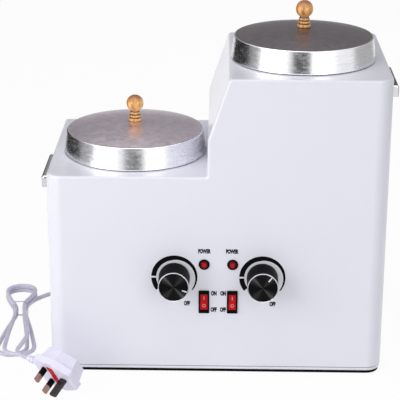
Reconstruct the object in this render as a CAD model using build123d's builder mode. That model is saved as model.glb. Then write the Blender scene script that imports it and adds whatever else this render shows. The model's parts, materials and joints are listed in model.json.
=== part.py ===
from build123d import *
from math import atan, cos, degrees, pi, radians, sin, tan
import os

os.makedirs("parts", exist_ok=True)

# Double wax warmer: a stepped white steel housing, two heated wells with lift-out pots and
# spun lids, two thermostat knobs, two rocker switches, two lamps and a mains lead with a plug.
# All sizes are millimetres. +Z is up, the front looks along -Y, and the feet stand on Z = 0.

# Housing sizes
width = 380.0
depth = 224.0
low_deck = 237.0
riser_height = 42.5
slope_rise = 69.0
slope_run = 23.0
lid_side_margin = 12.2
lid_front_margin = 18.0
lids_apart = 27.6
lid_to_riser = 2.8
sheet = 1.2
corner_radius = 18.0
rear_corner_radius = 5.0
edge_radius = 3.0
riser_root_radius = 3.0
crease_radius = 8.0
high_edge_radius = 5.0
shell_bottom = 9.0
cap_skirt = 4.0
rear_bottom_flange = 10.0
rear_flange = 16.0
rear_cover_inset = 6.0
cover_lift = 2.0
cover_screw_inset = 10.0
vent_width = 4.0
vent_length = 70.0
vent_pitch = 10.0
vent_count = 5
low_vent_z = 90.0
high_vent_z = 210.0

# Base sizes
foot_radius = 8.0
foot_height = 1.0
foot_seat = 1.0
foot_inset = 32.0
foot_chamfer = 0.5
base_thickness = 4.0
base_inset = 2.0
rim_lip_height = 3.2
rim_lip_inset = 0.7
rim_upstand = 15.0
rim_flange = 16.0
screw_recess = 1.2
base_screw_inset = 9.0
base_screw_from_side = 45.0
base_vent_length = 60.0
base_vent_pitch = 12.0
base_vent_count = 11
fit_gap = 0.2

# Fasteners
screw_radius = 1.5
screw_head_radius = 3.0
screw_head_height = 1.6
screw_length = 7.0
screw_edge = 0.8

# Pot, well and lid sizes
pot_wall = 1.5
pot_depth = 98.0
pot_collar = 24.5
pot_bottom_radius = 10.0
pot_bead_reach = 5.5
pot_bead_edge = 0.7
pot_bead_height = 2.4
pot_roll = 1.3
deck_hole_clearance = 1.0
well_clearance = 2.2
well_wall = 2.0
well_floor_gap = 1.0
well_flange_width = 3.8
band_wall = 2.4
band_height = 58.0
band_top = 32.0
band_gap = 6.0
band_ear = 7.0
band_ear_gap = 2.4
wool_wall = 6.5
wool_top = 14.0
wool_height = 78.0
lid_seat_gap = 0.3
lid_skirt_gap = 0.8
lid_overhang = 9.5
lid_taper = 2.6
lid_dome = 9.4
lid_wall = 1.2
lid_land = 8.0
lid_edge_radius = 1.6
lid_bead = 0.5

# Turned wooden pull on each lid
ball_radius = 9.8
ball_centre = 20.8
pull_base_radius = 7.6
pull_ring_radius = 6.9
pull_top_ring_radius = 6.2
pull_neck_radius = 5.2
pull_groove = 0.9
pull_foot_bevel = 0.6
pull_foot_top = 3.4
pull_low_groove = 4.0
pull_low_groove_top = 4.6
pull_ring_bottom = 5.1
pull_ring_top = 7.0
pull_high_groove = 7.5
pull_high_groove_top = 8.1
pull_top_ring_bottom = 8.6
pull_top_ring_top = 10.2
pull_neck_bottom = 11.3
pull_screw_depth = 12.0
pull_screw_radius = 2.0

# Control panel
panel_x = 2.0
control_spacing = 32.0
dial_spacing = 99.0
lamp_z = 134.5
rocker_z = 89.0
dial_z = 119.0
knob_radius = 17.6
knob_reach = 30.5
knob_gap = 0.8
knob_cap_thickness = 1.6
knob_bevel = 1.2
knob_draft = 0.4
knob_wall = 2.8
knob_hollow = 21.0
knob_boss_radius = 6.2
knob_boss_start = 8.2
pointer_width = 1.3
pointer_length = 5.6
pointer_depth = 0.5
left_pointer_angle = -20.0
right_pointer_angle = 52.0
shaft_radius = 3.0
shaft_running_gap = 0.05
shaft_flat = 1.0
shaft_seat = 0.02
shaft_chamfer = 0.4
shaft_in_knob = 14.0
shaft_in_thermostat = 8.0
bushing_radius = 4.8
bushing_out = 7.0
nut_across = 12.0
nut_height = 2.5
thermostat_size = 30.0
thermostat_depth = 24.0
thermostat_edge = 3.0
bulb_radius = 3.0
bulb_length = 60.0
capillary_radius = 0.8

# Rocker switches
switch_width = 12.0
switch_height = 27.5
switch_bezel = 1.6
switch_bezel_radius = 1.0
switch_bezel_edge = 0.6
rocker_width = 8.0
rocker_reach = 9.2
rocker_gap = 0.3
rocker_pivot_depth = 0.8
rocker_angle = 8.0
rocker_crown = 1.4
rocker_back = 6.0
switch_body_inset = 0.9
switch_body_depth = 17.0
switch_wall = 1.0
trunnion_radius = 1.2
trunnion_length = 0.6
blade_length = 7.0
blade_width = 4.0
blade_thickness = 0.8

# Indicator lamps
lamp_radius = 6.2
lamp_flange = 1.4
lamp_flange_edge = 0.7
lamp_barrel_radius = 5.2
lamp_barrel_depth = 20.0
lens_radius = 4.6
lens_height = 2.0
lens_sunk = 0.3
lens_seat = 4.0

# Side handles
handle_length = 84.0
handle_reach = 13.0
handle_height = 13.5
handle_drop = 23.5
handle_sheet = 1.2
handle_corner = 3.0
handle_from_front = 70.0
handle_screw_spacing = 60.0

# Terminal block and inner wires
block_from_side = 118.0
block_from_rear = 50.0
block_length = 46.0
block_width = 18.0
block_height = 16.0
wire_pitch = 10.0
wire_radius = 1.1
wire_rise = 20.0
wire_stagger = 6.0
wire_turn = 60.0
wire_drop = 30.0
inner_lead_straight = 9.0

# Mains lead
cord_radius = 2.6
cord_rest = 2.7
cord_step = 6.0
gland_from_side = 108.0
gland_z = 30.0
gland_body_radius = 6.0
gland_flange_radius = 8.5
gland_flange = 2.2
gland_edge = 0.8
gland_sleeve = 26.0
gland_tip_radius = 3.7
gland_inner = 8.0
gland_ribs = 5
groove_depth = 1.3

# Route of the lead behind the housing, as (from the left side wall, behind the rear, height)
sleeve_straight = 17.0
lead_way = [
    (102.0, 66.0, 26.5),
    (86.0, 80.0, 19.0),
    (65.0, 79.5, 11.0),
    (46.0, 67.0, 5.5),
    (29.7, 49.0, 3.0),
    (4.0, 22.2, 2.7),
]

# Hank: its own long axis starts left of the front corner and leans away from the housing
hank_from_side = 41.0
hank_from_front = 4.0
hank_slant = 5.5
waist_at = 150.0
waist_half_width = 3.4
waist_lift = 1.0
fold_radius = 17.6
fold_corners = 5
rear_flare = 20.0
rear_waypoint = 0.5
front_waypoints = [0.27, 0.54, 0.8]
strand_bow = 1.5
loop_fronts = [32.0, 20.0]
loop_fans = [-8.0, 3.0]
entry_way = [(211.0, 38.0, 0.0), (193.0, 17.0, 0.0), (173.0, 7.4, 0.6), (152.0, 4.2, 1.0)]
exit_at = 92.0
exit_half_width = 9.6
tie_gap = 2.6
tie_wall = 0.8
tie_width = 1.6
tie_low = 0.1

# Route of the plug lead, as (from the left side wall, behind the front face, height)
plug_way = [(-34.5, 65.0, 15.5), (-37.0, 32.0, 19.0), (-39.5, 4.0, 24.5)]

# Plug with three flat pins
plug_from_side = 4.0
plug_front = -52.0
plug_turn = 36.0
plug_half_width = 25.5
plug_cable_end = 14.5
plug_earth_end = 36.0
plug_shoulder = 14.0
plug_nose_half_width = 13.0
plug_run = 15.0
plug_flange = 8.0
plug_grip = 17.0
plug_grip_inset = 3.0
plug_corner = 6.0
plug_edge = 3.0
plug_taper = 12.0
pin_offset = 11.1
earth_offset = 22.2
pin_width = 6.35
pin_thickness = 4.0
pin_length = 17.7
pin_sleeve_length = 9.0
pin_sleeve_wall = 0.4
pin_root = 5.0
pin_chamfer = 0.8
earth_chamfer = 1.0
earth_length = 22.7
earth_width = 8.0
plug_sleeve_length = 24.0
plug_sleeve_radius = 5.4
plug_sleeve_tip = 3.6
plug_cable_depth = 10.0
plug_ribs = 4
fuse_length = 34.0
fuse_width = 8.0
fuse_proud = 0.6
fuse_edge = 0.4
fuse_depth = 6.0
fuse_place = 9.0

# Places that follow from the sizes
rear_reach = sheet + screw_head_height
front_y = -(depth + rear_reach - knob_reach) / 2
rear_y = front_y + depth
half_width = width / 2
lid_reach = (width - 2 * lid_side_margin - lids_apart) / 4
lid_base_radius = lid_reach - lid_bead
lid_top_radius = lid_base_radius - lid_taper
pot_radius = lid_base_radius - lid_overhang
pot_bead_radius = pot_radius + pot_bead_reach
pot_spacing = 2 * lid_reach + lids_apart
riser_x = lid_reach + lid_to_riser - pot_spacing / 2
high_edge_x = riser_x + slope_run
crease_z = low_deck + riser_height
high_deck = crease_z + slope_rise
base_bottom = foot_height
base_top = base_bottom + base_thickness
rim_top = base_top + rim_lip_height
pot_y = front_y + lid_front_margin + lid_reach
pots = {"low": (-pot_spacing / 2, low_deck), "high": (pot_spacing / 2, high_deck)}
dials = {
    "left": (panel_x - dial_spacing / 2, left_pointer_angle),
    "right": (panel_x + dial_spacing / 2, right_pointer_angle),
}
switches = {"left": panel_x - control_spacing / 2, "right": panel_x + control_spacing / 2}
deck_hole_radius = pot_radius + deck_hole_clearance
well_inner = pot_radius + well_clearance
well_outer = well_inner + well_wall
band_inner = well_outer + fit_gap
band_outer = band_inner + band_wall
wool_inner = band_outer + fit_gap
neck_rise = (ball_radius**2 - pull_neck_radius**2) ** 0.5
front_plane = Plane(origin=(0, front_y, 0), x_dir=(1, 0, 0), z_dir=(0, -1, 0))
rear_plane = Plane(origin=(0, rear_y, 0), x_dir=(-1, 0, 0), z_dir=(0, 1, 0))
edge_x = half_width - cover_screw_inset
base_side = half_width - base_screw_from_side
cover_bottom = shell_bottom + rear_bottom_flange / 2
switch_body_width = switch_width - 2 * switch_body_inset
switch_body_height = switch_height - 2 * switch_body_inset
plug_tilt = degrees(atan((plug_half_width - pin_offset - pin_width / 2) / pin_length))
block_x = block_from_side - half_width
block_y = rear_y - block_from_rear
gland_x = gland_from_side - half_width
handle_y = front_y + handle_from_front + handle_length / 2
handles = {
    "left": (-1, low_deck - handle_drop - handle_height / 2),
    "right": (1, high_deck - handle_drop - handle_height / 2),
}
vent_banks = [
    (-pot_spacing / 2, low_vent_z),
    (pot_spacing / 2, low_vent_z),
    (pot_spacing / 2, high_vent_z),
]
cover_screws = [
    (-edge_x, low_deck * 0.3),
    (-edge_x, low_deck * 0.8),
    (-pot_spacing / 2, low_deck - cover_screw_inset),
    (pot_spacing / 2, high_deck - cover_screw_inset),
    (edge_x, low_deck * 0.3),
    (edge_x, low_deck * 0.8),
    (edge_x, high_deck - 2 * cover_screw_inset),
    (-pot_spacing / 2, cover_bottom),
    (pot_spacing / 2, cover_bottom),
]
cover_holes = [(-x, z) for x, z in cover_screws]
base_screws = [
    (-base_side, front_y + base_screw_inset),
    (0, front_y + base_screw_inset),
    (base_side, front_y + base_screw_inset),
    (-base_side, rear_y - base_screw_inset),
    (0, rear_y - base_screw_inset),
    (base_side, rear_y - base_screw_inset),
]
feet = [
    (-half_width + foot_inset, front_y + foot_inset),
    (half_width - foot_inset, front_y + foot_inset),
    (-half_width + foot_inset, rear_y - foot_inset),
    (half_width - foot_inset, rear_y - foot_inset),
]


def save(part, name):
    """Label one finished piece and write it to its own file."""
    part.label = name
    export_step(part, f"parts/{name}.step")


def side_plane(side, z):
    """Plane on the outer face of a side wall, level with its handle and square to it."""
    return Plane(origin=(side * half_width, handle_y, z), x_dir=(0, 1, 0), z_dir=(side, 0, 0))


def outline_points():
    """Corners of the stepped front view, clockwise from the lower left."""
    return [
        (-half_width, 0),
        (-half_width, low_deck),
        (riser_x, low_deck),
        (riser_x, crease_z),
        (high_edge_x, high_deck),
        (half_width, high_deck),
        (half_width, 0),
    ]


def stepped_face(inset):
    """Front view of the housing, drawn in by the given amount, with its bends rounded."""
    with BuildSketch() as view:
        with BuildLine():
            Polyline(*outline_points(), close=True)
        make_face()
        for x, y, radius in (
            (riser_x, low_deck, riser_root_radius),
            (riser_x, crease_z, crease_radius),
            (high_edge_x, high_deck, high_edge_radius),
        ):
            bend = view.vertices().sort_by_distance((x, y, 0))[0]
            fillet(bend, radius)
        if inset > 0:
            offset(amount=-inset, kind=Kind.INTERSECTION)
    return view.sketch


def footprint(inset):
    """Plan of the housing, drawn in by the given amount."""
    with BuildSketch() as plan:
        with Locations((0, front_y + depth / 2)):
            Rectangle(width - 2 * inset, depth - 2 * inset)
        fillet(plan.vertices().sort_by(Axis.Y)[:2], corner_radius - inset)
        fillet(plan.vertices().sort_by(Axis.Y)[-2:], max(rear_corner_radius - inset, 0.5))
    return plan.sketch


def housing_block(inset, bottom):
    """Solid stepped block, drawn in by the given amount, from bottom up."""
    with BuildPart() as block:
        with BuildSketch(front_plane):
            add(stepped_face(inset))
        extrude(amount=-depth)
        with BuildSketch(Plane.XY.offset(bottom)):
            add(footprint(inset))
        extrude(amount=high_deck, mode=Mode.INTERSECT)
        upper = block.edges().filter_by(lambda e: e.center().Z > (low_deck + shell_bottom) * 0.6)
        bends = upper.filter_by(Axis.Y).filter_by(lambda e: abs(e.center().X) < half_width / 2)
        fillet(upper - bends, edge_radius - inset)
    return block.part


def below_cap():
    """Everything in the front view that lies under the folded top panel."""
    far = width
    with BuildSketch() as view:
        with BuildLine():
            Polyline(
                (-far, -cap_skirt),
                (-far, low_deck - cap_skirt),
                (riser_x + cap_skirt, low_deck - cap_skirt),
                (riser_x + cap_skirt, crease_z - cap_skirt),
                (high_edge_x + cap_skirt, high_deck - cap_skirt),
                (far, high_deck - cap_skirt),
                (far, -cap_skirt),
                close=True,
            )
        make_face()
    return view.sketch


def pan_screw(place, head_radius, shank_radius, length):
    """Pan-head screw whose head stands out along the normal of its plane."""
    with BuildPart() as screw:
        with BuildSketch(place):
            Circle(head_radius)
        extrude(amount=screw_head_height)
        fillet(screw.edges().sort_by(Axis(place.origin, place.z_dir))[-1], screw_edge)
        with BuildSketch(place):
            Circle(shank_radius)
        extrude(amount=-length)
    return screw.part


def ribbed_sleeve(start, direction, length, root_radius, tip_radius, ribs):
    """Tapered flexible sleeve with rounded grooves, along a direction."""
    side = Vector(0, 0, 1)
    draw = Plane(origin=start, x_dir=direction, z_dir=Vector(*direction).cross(side))
    pitch = length / (ribs + 1)
    with BuildPart() as sleeve:
        with BuildSketch(draw):
            with BuildLine():
                Polyline((0, 0), (0, root_radius), (length, tip_radius), (length, 0), close=True)
            make_face()
            for number in range(ribs):
                along = pitch * (number + 1)
                radius = root_radius + (tip_radius - root_radius) * along / length
                with Locations((along, radius)):
                    Rectangle(pitch * 0.36, groove_depth, mode=Mode.SUBTRACT)
        revolve(axis=Axis(start, direction), revolution_arc=360)
    return sleeve.part


def bend_radii(points):
    """Radius for each inner corner of a route, as large as its shorter run allows."""
    radii = []
    for before, corner, after in zip(points, points[1:], points[2:]):
        arriving = Vector(*corner) - Vector(*before)
        leaving = Vector(*after) - Vector(*corner)
        half_turn = radians(arriving.get_angle(leaving)) / 2
        radii.append(0.45 * min(arriving.length, leaving.length) / tan(half_turn))
    return radii


def tube(points, radius):
    """Round tube along straight runs joined by tangent arcs."""
    with BuildPart() as swept:
        with BuildLine() as route:
            FilletPolyline(*points, radius=bend_radii(points))
        with BuildSketch(Plane(origin=route.line @ 0, z_dir=route.line % 0)):
            Circle(radius)
        sweep(path=route.line)
    return swept.part


def report_tube(name, points, part):
    """Print the length, the bend radii and the volume check of one stretch of cord."""
    path = FilletPolyline(*points, radius=bend_radii(points))
    expected = pi * cord_radius**2 * path.length
    bends = ", ".join(f"{radius:.0f}" for radius in bend_radii(points))
    print(f"{name}: length {path.length:.0f} mm, radii {bends}, volume ratio {part.volume / expected:.4f}")
    return path


def least_gap(path, step=1.5, ignore=20.0):
    """Smallest clear distance of a tube to itself, measured between points along its path."""
    count = int(path.length / step)
    places = [path @ (number / count) for number in range(count + 1)]
    skip = int(ignore / step)
    distances = [
        (places[second] - places[first]).length
        for first in range(count + 1)
        for second in range(first + skip, count + 1)
    ]
    return min(distances) - 2 * cord_radius


def lay(along, across, height):
    """Place in the hank's own frame turned into the model's frame."""
    slant = radians(hank_slant)
    x = -half_width - hank_from_side - along * sin(slant) + across * cos(slant)
    y = front_y + hank_from_front + along * cos(slant) + across * sin(slant)
    return (x, y, height)


def fold_turns(flare):
    """Corners of a fold from its left flank to its right one, seen from the middle of its circle."""
    turn = (180 + 2 * flare) / fold_corners
    reach = fold_radius / cos(radians(turn / 2))
    angles = [radians(-90 - flare + turn * (number + 0.5)) for number in range(fold_corners)]
    return [(reach * cos(angle), reach * sin(angle)) for angle in angles]


def flank(start, end, share):
    """Point on a strand between two places of the hank, bowed outward a little."""
    along = start[0] + (end[0] - start[0]) * share
    across = start[1] + (end[1] - start[1]) * share
    bow = strand_bow * sin(pi * share)
    return (along, across + bow if across > 0 else across - bow)


def middle(first, second):
    """Place halfway between two others."""
    return tuple((Vector(*first) + Vector(*second)) * 0.5)


def hank_loop(front, fan, level):
    """One loop of the hank: forward on its right, round the front, back on its left, round the rear."""
    right_waist = (waist_at, waist_half_width)
    left_waist = (waist_at, -waist_half_width)
    centre = front + fold_radius
    flare = degrees(atan((fold_radius - waist_half_width) / (waist_at - centre)))
    ahead = [(centre - along, -across) for along, across in fold_turns(flare)]
    strand = [flank(right_waist, ahead[0], share) for share in front_waypoints]
    way = strand + ahead + [(along, -across) for along, across in reversed(strand)]
    spread = atan(fan / (waist_at - front))
    fanned = []
    for along, across in way:
        reach = waist_at - along
        fanned.append((
            waist_at - reach * cos(spread) + across * sin(spread),
            across * cos(spread) + reach * sin(spread),
        ))
    tilt = radians(rear_flare)
    rear_centre = waist_at + (fold_radius - waist_half_width * cos(tilt)) / sin(tilt)
    behind = [(rear_centre + along, across) for along, across in fold_turns(rear_flare)]
    out = flank(left_waist, behind[0], rear_waypoint)
    points = [lay(*place, level) for place in fanned]
    points.append(lay(*left_waist, level + waist_lift))
    points.append(lay(*out, level + cord_step / 2))
    points += [lay(*place, level + cord_step) for place in behind]
    points.append(lay(out[0], -out[1], level + cord_step))
    points.append(lay(*right_waist, level + cord_step + waist_lift))
    return points


def beside(points, start_y):
    """Cord points counted from the left side wall and from a depth, in the model's frame."""
    return [(-half_width + x, start_y + y, z) for x, y, z in points]


# Housing: front and sides in one folded sheet, closed at the back by narrow flanges
outer_block = housing_block(0, shell_bottom)
inner_block = housing_block(sheet, -sheet)
under = below_cap()

with BuildPart() as front_wrap:
    add(outer_block)
    add(inner_block, mode=Mode.SUBTRACT)
    with BuildSketch(front_plane.offset(depth)):
        add(under)
    extrude(amount=-3 * depth, mode=Mode.INTERSECT)
    with BuildSketch(rear_plane.offset(sheet)):
        add(mirror(stepped_face(rear_flange), about=Plane.YZ))
        with Locations((0, shell_bottom)):
            Rectangle(width, 2 * rear_bottom_flange, mode=Mode.SUBTRACT)
        with Locations(*cover_holes):
            Circle(screw_radius + fit_gap / 2)
    extrude(amount=-3 * sheet, mode=Mode.SUBTRACT)
    with BuildSketch(front_plane.offset(sheet)):
        for x in switches.values():
            with Locations((x, rocker_z)):
                Rectangle(switch_body_width + fit_gap, switch_body_height + fit_gap)
            with Locations((x, lamp_z)):
                Circle(lamp_barrel_radius + fit_gap)
        for x, angle in dials.values():
            with Locations((x, dial_z)):
                Circle(bushing_radius + fit_gap)
    extrude(amount=-3 * sheet, mode=Mode.SUBTRACT)
    for side, handle_z in handles.values():
        with BuildSketch(side_plane(side, handle_z)):
            with GridLocations(handle_screw_spacing, 1, 2, 1):
                Circle(screw_radius + fit_gap / 2)
        extrude(amount=-2 * sheet, mode=Mode.SUBTRACT)
save(front_wrap.part, "front_wrap")

# Top in three panels welded at the bends: low deck, riser with its slanted part, and high deck
seam_low = riser_x - riser_root_radius
seam_high = high_edge_x + high_edge_radius
top_panels = {
    "low_top": (-half_width, seam_low),
    "riser_panel": (seam_low, seam_high),
    "high_top": (seam_high, half_width),
}
for name, (start_x, end_x) in top_panels.items():
    with BuildPart() as panel:
        add(outer_block)
        add(inner_block, mode=Mode.SUBTRACT)
        with BuildSketch(front_plane.offset(depth)):
            add(under)
        extrude(amount=-3 * depth, mode=Mode.SUBTRACT)
        for x, deck in pots.values():
            with BuildSketch(Plane.XY.offset(deck + sheet)):
                with Locations((x, pot_y)):
                    Circle(deck_hole_radius)
            extrude(amount=-3 * sheet, mode=Mode.SUBTRACT)
        with BuildSketch(Plane.XY):
            with Locations(((start_x + end_x) / 2, front_y + depth / 2)):
                Rectangle(end_x - start_x, depth)
        extrude(amount=high_deck, mode=Mode.INTERSECT)
    save(panel.part, name)

# Flat cover over the open back, with two banks of vent slots
with BuildPart() as rear_panel:
    with BuildSketch(rear_plane):
        add(mirror(stepped_face(rear_cover_inset), about=Plane.YZ))
        with Locations((0, 0)):
            Rectangle(width, 2 * (shell_bottom + cover_lift), mode=Mode.SUBTRACT)
        for x, z in vent_banks:
            with Locations((-x, z)):
                with GridLocations(0, vent_pitch, 1, vent_count):
                    SlotOverall(vent_length, vent_width, mode=Mode.SUBTRACT)
        with Locations((-gland_x, gland_z)):
            Circle(gland_body_radius + fit_gap, mode=Mode.SUBTRACT)
        with Locations(*cover_holes):
            Circle(screw_radius + fit_gap / 2, mode=Mode.SUBTRACT)
    extrude(amount=sheet)
save(rear_panel.part, "rear_panel")

with BuildPart() as rear_screws:
    for x, z in cover_screws:
        head_plane = Plane(origin=(x, rear_y + sheet, z), x_dir=(-1, 0, 0), z_dir=(0, 1, 0))
        add(pan_screw(head_plane, screw_head_radius, screw_radius, screw_length))

# White folded rim that closes the lower edge and carries the base plate
with BuildPart() as bottom_rim:
    with BuildSketch(Plane.XY.offset(base_top)):
        add(footprint(rim_lip_inset))
        add(footprint(rim_flange), mode=Mode.SUBTRACT)
        with Locations(*base_screws):
            Circle(screw_radius + fit_gap / 2, mode=Mode.SUBTRACT)
    extrude(amount=sheet)
    with BuildSketch(Plane.XY.offset(base_top + sheet)):
        add(footprint(rim_lip_inset))
        add(footprint(2 * sheet + fit_gap), mode=Mode.SUBTRACT)
    extrude(amount=rim_lip_height - sheet)
    with BuildSketch(Plane.XY.offset(rim_top)):
        add(footprint(sheet + fit_gap))
        add(footprint(2 * sheet + fit_gap), mode=Mode.SUBTRACT)
    extrude(amount=rim_upstand)
    with BuildSketch(rear_plane):
        with Locations(*cover_holes):
            Circle(screw_radius + fit_gap / 2)
    extrude(amount=-rim_flange, mode=Mode.SUBTRACT)
save(bottom_rim.part, "bottom_rim")

# Black base plate with vent slots, recessed screws and seats for the feet
with BuildPart() as base_plate:
    with BuildSketch(Plane.XY.offset(base_bottom)):
        add(footprint(base_inset))
        with GridLocations(base_vent_pitch, 0, base_vent_count, 1):
            SlotOverall(base_vent_length, vent_width, rotation=90, mode=Mode.SUBTRACT)
        with Locations(*base_screws):
            Circle(screw_radius + fit_gap / 2, mode=Mode.SUBTRACT)
    extrude(amount=base_thickness)
    with BuildSketch(Plane.XY.offset(base_bottom)):
        with Locations(*feet):
            Circle(foot_radius + fit_gap)
    extrude(amount=foot_seat, mode=Mode.SUBTRACT)
    with BuildSketch(Plane.XY.offset(base_bottom)):
        with Locations(*base_screws):
            Circle(screw_head_radius + fit_gap)
    extrude(amount=screw_recess, mode=Mode.SUBTRACT)
save(base_plate.part, "base_plate")

with BuildPart() as base_screw_set:
    for x, y in base_screws:
        head_plane = Plane(origin=(x, y, base_bottom + screw_recess), z_dir=(0, 0, -1))
        add(pan_screw(head_plane, screw_head_radius, screw_radius, screw_length))

with BuildPart() as rubber_feet:
    with BuildSketch(Plane.XY):
        with Locations(*feet):
            Circle(foot_radius)
    extrude(amount=foot_height + foot_seat)
    chamfer(rubber_feet.edges().group_by(Axis.Z)[0], foot_chamfer)
save(rubber_feet.part, "rubber_feet")

# Each heating well hangs under its deck, with a band heater and a wool jacket around it
for name, (x, deck) in pots.items():
    axis = Axis((x, pot_y, 0), (0, 0, 1))
    section = Plane(origin=(x, pot_y, 0), x_dir=(1, 0, 0), z_dir=(0, -1, 0))
    well_top = deck - sheet
    floor_top = deck - pot_depth - well_floor_gap
    with BuildPart() as well:
        with BuildSketch(section):
            with BuildLine():
                Polyline(
                    (0, floor_top - well_wall),
                    (well_outer, floor_top - well_wall),
                    (well_outer, well_top - well_wall),
                    (well_outer + well_flange_width, well_top - well_wall),
                    (well_outer + well_flange_width, well_top),
                    (well_inner, well_top),
                    (well_inner, floor_top),
                    (0, floor_top),
                    close=True,
                )
            make_face()
        revolve(axis=axis)
    save(well.part, f"{name}_heating_well")

    band_low = deck - band_top - band_height
    with BuildPart() as band:
        with BuildSketch(Plane.XY.offset(band_low)):
            with Locations((x, pot_y)):
                Circle(band_outer)
            with Locations((x, pot_y + band_outer)):
                Rectangle(2 * band_ear_gap + band_gap, 2 * band_ear)
            with Locations((x, pot_y)):
                Circle(band_inner, mode=Mode.SUBTRACT)
            with Locations((x, pot_y + band_outer)):
                Rectangle(band_gap, 4 * band_ear, mode=Mode.SUBTRACT)
        extrude(amount=band_height)
    save(band.part, f"{name}_band_heater")

    with BuildPart() as wool:
        with BuildSketch(Plane.XY.offset(deck - wool_top - wool_height)):
            with Locations((x, pot_y)):
                Circle(wool_inner + wool_wall)
                Circle(wool_inner, mode=Mode.SUBTRACT)
            with Locations((x, pot_y + wool_inner + wool_wall / 2)):
                Rectangle(2 * band_ear_gap + band_gap + 2, 4 * wool_wall, mode=Mode.SUBTRACT)
        extrude(amount=wool_height)
    save(wool.part, f"{name}_insulation")

    # Deep drawn pot with a rolled rim and a bead that rests on the deck
    pot_low = deck - pot_depth
    pot_top = deck + pot_collar
    with BuildPart() as pot:
        with BuildSketch(section):
            for inset, mode in ((0, Mode.ADD), (pot_wall, Mode.SUBTRACT)):
                with BuildLine():
                    FilletPolyline(
                        (0, pot_low + inset),
                        (pot_radius - inset, pot_low + inset),
                        (pot_radius - inset, pot_top),
                        radius=pot_bottom_radius - inset,
                    )
                    Polyline((pot_radius - inset, pot_top), (0, pot_top), (0, pot_low + inset))
                make_face(mode=mode)
            with Locations(((pot_radius + pot_bead_radius) / 2 - pot_wall / 2, deck + pot_bead_height / 2)):
                RectangleRounded(pot_bead_radius - pot_radius + pot_wall, pot_bead_height, pot_bead_edge)
            with Locations((pot_radius, pot_top - pot_roll)):
                Circle(pot_roll)
        revolve(axis=axis)
    save(pot.part, f"{name}_pot")

    # Spun lid: tapered skirt, crowned top and a flat land that rests on the pot's rim
    skirt_low = deck + lid_skirt_gap
    land_z = pot_top + lid_seat_gap
    crown_edge = land_z + lid_wall
    crown_top = crown_edge + lid_dome
    land_radius = lid_top_radius - lid_wall - lid_land
    pad_radius = 2 * pull_screw_radius + 0.5
    with BuildPart() as lid:
        with BuildSketch(section) as lid_face:
            with BuildLine():
                TangentArc((0, crown_top), (lid_top_radius, crown_edge), tangent=(1, 0))
                Polyline((lid_top_radius, crown_edge), (lid_base_radius, skirt_low), (0, skirt_low), (0, crown_top))
            make_face()
            crown_corner = lid_face.vertices().sort_by_distance((lid_top_radius, crown_edge, 0))[0]
            fillet(crown_corner, lid_edge_radius)
            with BuildLine():
                TangentArc((pad_radius, crown_top - lid_wall), (land_radius, land_z), tangent=(1, 0))
                Polyline(
                    (land_radius, land_z),
                    (lid_top_radius - lid_wall, land_z),
                    (lid_base_radius - lid_wall, skirt_low),
                    (lid_base_radius - lid_wall, skirt_low - 1),
                    (0, skirt_low - 1),
                    (0, crown_top - lid_wall),
                    (pad_radius, crown_top - lid_wall),
                )
            make_face(mode=Mode.SUBTRACT)
            with Locations((lid_base_radius - lid_wall / 2 + lid_bead / 2, skirt_low + lid_wall / 2)):
                RectangleRounded(lid_wall + lid_bead, lid_wall, 0.4)
        revolve(axis=axis)
        with BuildSketch(Plane.XY.offset(crown_top + 1)):
            with Locations((x, pot_y)):
                Circle(pull_screw_radius + fit_gap / 2)
        extrude(amount=-2 * lid_wall - 1, mode=Mode.SUBTRACT)
    save(lid.part, f"{name}_lid")

    # Turned wooden pull: ringed foot, narrow neck and ball, with a pilot hole for its screw
    with BuildPart() as pull:
        with BuildSketch(section):
            with BuildLine():
                Polyline(
                    (0, crown_top + ball_centre + ball_radius),
                    (0, crown_top),
                    (pull_base_radius - pull_foot_bevel, crown_top),
                    (pull_base_radius, crown_top + pull_foot_bevel),
                    (pull_base_radius, crown_top + pull_foot_top),
                    (pull_ring_radius - pull_groove, crown_top + pull_low_groove),
                    (pull_ring_radius - pull_groove, crown_top + pull_low_groove_top),
                    (pull_ring_radius, crown_top + pull_ring_bottom),
                    (pull_ring_radius, crown_top + pull_ring_top),
                    (pull_top_ring_radius - pull_groove, crown_top + pull_high_groove),
                    (pull_top_ring_radius - pull_groove, crown_top + pull_high_groove_top),
                    (pull_top_ring_radius, crown_top + pull_top_ring_bottom),
                    (pull_top_ring_radius, crown_top + pull_top_ring_top),
                    (pull_neck_radius, crown_top + pull_neck_bottom),
                    (pull_neck_radius, crown_top + ball_centre - neck_rise),
                )
                ThreePointArc(
                    (pull_neck_radius, crown_top + ball_centre - neck_rise),
                    (ball_radius, crown_top + ball_centre),
                    (0, crown_top + ball_centre + ball_radius),
                )
            make_face()
        revolve(axis=axis)
        with BuildSketch(Plane.XY.offset(crown_top)):
            with Locations((x, pot_y)):
                Circle(pull_screw_radius + shaft_seat)
        extrude(amount=pull_screw_depth, mode=Mode.SUBTRACT)
    save(pull.part, f"{name}_lid_pull")

    under_lid = Plane(origin=(x, pot_y, crown_top - lid_wall), z_dir=(0, 0, -1))
    screw_reach = lid_wall + pull_screw_depth - 1
    pull_screw = pan_screw(under_lid, 2 * pull_screw_radius, pull_screw_radius, screw_reach)
    save(pull_screw, f"{name}_lid_screw")

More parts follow.
